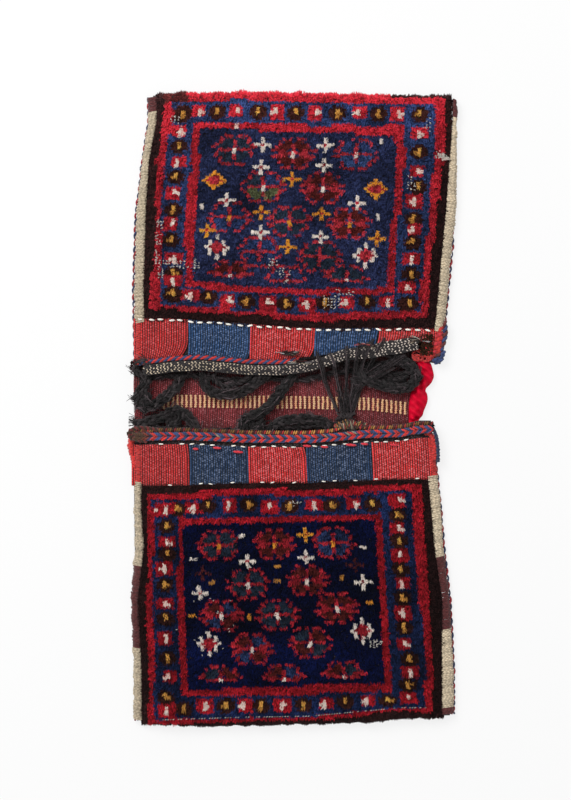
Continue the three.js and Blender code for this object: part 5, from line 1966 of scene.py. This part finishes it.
for route, height, thick, names in LIP_ENDS:
    path = smooth_path(photo_route(route, height), CORD_STEP)
    plies += two_ply(path, thick, 7 * MM, [DYES[name] * 0.9 for name in names], draws)
strand_piece("lower_lip_end", plies, YARN, 6, "red_blue_cord")

# %% [markdown]
# ## Brocade on the bridge
# A row of yellow bars crosses the bridge. They are extra wefts that float over several warps, so each bar
# is a ladder of short floats.

# %% Brocade floats
BROCADE_PITCH = 5.5 * MM
BROCADE_ENDS = (163, 410)
BROCADE_LINE = ((163, 170, 300, 370, 411), (403, 401, 402.5, 404, 409))
BROCADE_YELLOW = dye(255, 184, 134)
BROCADE_BRIGHTEST = dye(255, 204, 156)
FLOATS_IN_A_BAR = 6
FLOAT = 2.6 * MM
FLOAT_GRAIN = (2.9 * MM, 3.7 * MM, 2.3 * MM)
draws = seeded(133)
brocade = Stitching()
first_x, last_x = (from_photo(px, 0)[0] for px in BROCADE_ENDS)
bars = np.arange(first_x, last_x, BROCADE_PITCH)
middle = from_photo(0, np.interp(to_photo(bars, 0 * bars)[0], *BROCADE_LINE))[1]
strength = draws.uniform(0.7, 1.15, len(bars))
for level in range(FLOATS_IN_A_BAR):
    y = middle + (level - (FLOATS_IN_A_BAR - 1) / 2) * FLOAT
    x = bars + draws.normal(0, 0.2, len(bars)) * MM
    points = np.stack([x, y, np.full(len(bars), BRIDGE_TOP + 0.6 * MM)], -1)
    colours = BROCADE_YELLOW * (strength * draws.uniform(1.15, 1.6, len(bars)))[:, None]
    brocade.row(points, (0, 1, 0), UPWARDS, FLOAT_GRAIN, np.minimum(colours, BROCADE_BRIGHTEST))
brocade.grow("bridge_brocade_floats", "orange_wool", "bridge_brocade")

# %% [markdown]
# ## White running stitches
# Thick white cotton tacks the pile face to the tapestry, and on the lower pouch it also holds the braid
# down. The stitches are spaced by eye, so they wander.

# %% Running stitches


def running_stitch(stitching, bag, share, start, stop, pitch, size, seed, chance=1.0):
    """A row of stitches at a share of the tapestry's length, some of them lost."""
    draws = seeded(seed)
    across = np.arange(start, stop, pitch)
    across = across + draws.normal(0, 0.6, len(across)) * MM
    across = across[draws.uniform(size=len(across)) < chance]
    count = len(across)
    run = share * kilim_length(bag, across)
    points = on_pouch(bag, across, run + draws.normal(0, 0.4, count) * MM, 3.6 * MM)
    lie = np.stack([np.ones(count), draws.normal(0, 0.12, count) - bag.side * 0.04, np.zeros(count)], -1)
    stitching.row(points, lie, UPWARDS, size, DYES["ivory"] * draws.uniform(0.95, 1.2, (count, 1)))


white = Stitching()
running_stitch(white, UPPER, 0.98, -178 * MM, 172 * MM, 11.8 * MM, np.array([7.6, 2.9, 2.6]) * MM, 140)
running_stitch(white, LOWER, 0.0, -150 * MM, 165 * MM, 12.6 * MM, np.array([6.4, 2.1, 2.2]) * MM, 141, 0.85)
running_stitch(white, LOWER, 1.0, -165 * MM, 165 * MM, 12.6 * MM, np.array([5.5, 1.9, 2.2]) * MM, 142, 0.45)
white.grow("white_running_stitches", "ivory_wrap")

# %% [markdown]
# ## Red tacks
# A few long tacks of red wool hold the lower braid to the tapestry. Each was placed where it was needed, so
# they are a short list: where the tack is in the picture, and its length in pixels.

# %% Red tacks below the lower braid
RED_TACKS = [(195.5, 449, 6), (217, 448, 9), (238, 452, 11), (307, 446, 9), (324.5, 447, 8), (351, 445, 12),
             (364.5, 444, 8), (394, 445, 9)]
red_tacks = Stitching()
for px, py, long in RED_TACKS:
    spot = np.array([(*from_photo(px, py), FRONT_TOP + 4.2 * MM)])
    red_tacks.row(spot, (1, -0.08, 0), UPWARDS, (long * PIXEL, 3.6 * MM, 2.6 * MM), DYES["red"])
red_tacks.grow("red_tacks", "red_blue_cord")

# %% [markdown]
# ## Bare warps
# In a few places the pile is worn away and pale warps show as small bright threads. At the foot of the
# lower face a twined line of white closes the weave. Each worn place is a spot in the picture, how far it
# reaches to the side and up, and how many threads it shows.

# %% Worn threads and twining
WARP_END = np.array([2.4, 0.9, 1.2]) * MM
TWINING_GRAIN = np.array([2.4, 1.3, 1.2]) * MM
TWINING_COLUMNS = (163, 428, 2.6)
UPPER.worn = [(159.5, 223, 2, 5, 18), (158, 241, 2, 8, 16), (157, 258, 2, 6, 20), (160, 272, 3, 5, 14),
              (171, 262, 14, 1.2, 30), (178, 267, 9, 1, 16), (196, 264, 2.5, 5, 16), (176, 119, 4, 6, 18),
              (272, 263, 4, 5, 24), (283, 272, 7, 5, 20), (333, 302, 9, 5, 46), (345, 293, 9, 1.5, 18),
              (441, 155, 5, 3, 26), (412, 183, 4, 6, 20), (428, 125, 4, 8, 12)]
LOWER.worn = [(375, 644, 6, 3, 34), (295, 503, 5, 2, 14), (220, 612, 3, 1, 5), (205, 625, 30, 30, 14)]


def near_knot(bag, px, py):
    """The top of the pile at the knot nearest to a place in the picture."""
    knots = bag.plan.knots
    nearest = np.unravel_index(np.argmin((knots.px - px) ** 2 + (knots.py - py) ** 2), knots.px.shape)
    return on_pouch(bag, knots.across[nearest], knots.along[nearest], PILE_HEIGHT)


bare_warps = Stitching()
draws = seeded(143)
for bag in POUCHES:
    for px, py, wide, tall, count in bag.worn:
        columns, rows = px + draws.uniform(-wide, wide, count), py + draws.uniform(-tall, tall, count)
        threads = np.array([near_knot(bag, *spot) for spot in zip(columns, rows)])
        points = threads + draws.normal(0, 0.7, (count, 3)) * MM
        lie = np.stack([draws.normal(0, 1, count), draws.normal(0, 0.6, count), np.zeros(count)], -1)
        bare_warps.row(points, lie, UPWARDS, WARP_END, DYES["ivory"] * draws.uniform(0.5, 1, (count, 1)))
foot_px = np.arange(*TWINING_COLUMNS)
foot_px = foot_px[draws.random(len(foot_px)) < 0.65]
foot_py = np.interp(foot_px, FRAME_COLUMNS, LOWER.bottoms[2]) + 0.8
foot = np.array([near_knot(LOWER, *spot) for spot in zip(foot_px, foot_py)])
foot[:, :2] = np.stack(from_photo(foot_px, foot_py), -1)
pale = DYES["ivory"] * draws.uniform(0.15, 0.6, (len(foot), 1))
bare_warps.row(foot, (1, 0.4, 0), UPWARDS, TWINING_GRAIN, pale)
bare_warps.grow("bare_warps", "ivory_wrap")

# %% [markdown]
# ## Red cloth binding
# A strip of bright red cotton is gathered over the right edge of the bridge. A grid follows a wavy outer
# edge, swells into soft folds, and Solidify makes it cloth. Its colour is painted lighter on the crests of
# the folds and along the creases, and darker in the troughs. It has a closer weave and more gloss than the
# wool.

# %% Gathered binding


def cotton_finish():
    material, tree, shader = finish_material("red cotton", 0.6, 0.0, specular=0.12)
    dress(tree, shader, add_fibre(tree, yarn_dye(tree), 1800, 0.3), 0.2 * MM)
    return material


BINDING_EDGE = [(420, 356), (427, 359), (431.5, 363), (433.8, 370), (434.8, 376), (433.2, 381),
                (430.8, 384.5), (427.3, 388), (426.4, 391), (428, 394), (428.6, 400), (427, 405.5),
                (424.7, 411), (423.4, 415.5), (420.5, 419), (419.8, 421.5), (423, 424.5), (426, 427.5)]
BINDING_INNER = [(411, 356), (416, 361), (420, 370), (421, 380), (415, 387), (411, 395), (409.5, 407),
                 (409.5, 420), (409.5, 427)]
BINDING_COLUMNS = 22
BINDING_GATHERS = (388, 420.5)
BINDING_STEP = 1.2 * MM
BINDING_FOLD = 9 * MM
BINDING_CREASE = 6.5 * MM
CRIMSON = dye(206, 0, 42)
outline = smooth_path(photo_route(BINDING_EDGE, 0.0), BINDING_STEP)
inner_line = smooth_path(photo_route(BINDING_INNER, 0.0), BINDING_STEP)
inner_x = np.interp(-outline[:, 1], -inner_line[:, 1], inner_line[:, 0])[:, None]
share = np.linspace(0, 1, BINDING_COLUMNS)[None, :]
x = inner_x + (outline[:, :1] - inner_x) * share
y = np.repeat(outline[:, 1:2], BINDING_COLUMNS, 1)
folds = np.sin(2 * math.pi * (y + 0.8 * (x - inner_x)) / BINDING_FOLD) + 0.8 * ripple(x, y, 14 * MM, 31)
py = to_photo(x, y)[1]
gather = sum(np.exp(-((py - spot) / 2.5) ** 2) for spot in BINDING_GATHERS)
dome = np.sin(math.pi * share ** 0.8)
creases = (1 - np.abs(np.sin(math.pi * (0.55 * y + x - inner_x) / BINDING_CREASE))) ** 3
z = BRIDGE_TOP + 1.5 * MM + (5 - 3 * gather) * MM * dome + ((1.2 + gather) * folds + creases) * MM * dome
points = np.stack([x, y, z], -1)
# painted light and shade: lighter on the crests of the folds and the creases, darker in the troughs
yarn = CRIMSON * (1 + 0.15 * folds + 0.2 * creases)[..., None]
mesh = grid_mesh("binding", points, yarn, x / MM, y / MM, True)
binding = grow("bridge_binding_cloth", mesh, WEAVE_TREE, cotton_finish(), wall=0.9 * MM, rib_height=0.0,
               slack=0.6 * MM)
settle(binding, "crimson_cotton", "bridge_binding")

# %% [markdown]
# ## Floor and light
# The bag lies on white. The floor is pale and takes the soft shadow, and to the camera it also glows a
# little, so that it reads as a plain white ground without more light on the wool. One large lamp from the
# upper left and an even sky model the tufts.

# %% Stage
FLOOR_SIZE = 6.0
FLOOR_DROP = 1 * MM
SKY_STRENGTH = 0.55
LAMP_PLACE = (-1.3, 1.5, 2.2)
LAMP_SIZE = 1.5
LAMP_WATTS = 60


def floor_finish():
    material = bpy.data.materials.new("white floor")
    material.use_nodes = True
    tree = Tree(material.node_tree)
    tree.tree.nodes.clear()
    paper = tree.out("ShaderNodeBsdfDiffuse", {"Color": (0.9, 0.9, 0.9, 1)})
    glow = tree.out("ShaderNodeEmission", {"Color": (1, 1, 1, 1), "Strength": 1.0})
    path = tree.add("ShaderNodeLightPath")
    seen = tree.math("ADD", path.outputs["Is Camera Ray"], path.outputs["Is Glossy Ray"])
    seen = tree.math("MINIMUM", tree.math("ADD", seen, path.outputs["Is Transmission Ray"]), 1.0)
    mixed = tree.out("ShaderNodeMixShader", {0: tree.math("MULTIPLY", seen, 0.8), 1: paper, 2: glow})
    tree.add("ShaderNodeOutputMaterial", {"Surface": mixed})
    return material


half = FLOOR_SIZE / 2
corners = [(x, y, -FLOOR_DROP) for x, y in ((-half, -half), (half, -half), (half, half), (-half, half))]
floor_mesh = seed_mesh("floor", corners, (), [(0, 1, 2, 3)])
floor_mesh.materials.append(floor_finish())
into_scene("floor", floor_mesh)

world = bpy.data.worlds.new("even sky")
world.use_nodes = True
world.node_tree.nodes["Background"].inputs["Color"].default_value = (1, 1, 1, 1)
world.node_tree.nodes["Background"].inputs["Strength"].default_value = SKY_STRENGTH
bpy.context.scene.world = world

lamp_data = bpy.data.lights.new("window", "AREA")
lamp_data.size = LAMP_SIZE
lamp_data.energy = LAMP_WATTS
lamp = into_scene("window", lamp_data)
lamp.location = LAMP_PLACE
lamp.rotation_euler = (-lamp.location).to_track_quat("-Z", "Y").to_euler()
print("floor, sky and one lamp of", LAMP_WATTS, "watts")

# %% [markdown]
# ## Triangle count
# Last we count the triangles of all the pieces.

# %% Triangle count
print("triangles in all:", sum(triangles(piece) for piece in made_pieces))
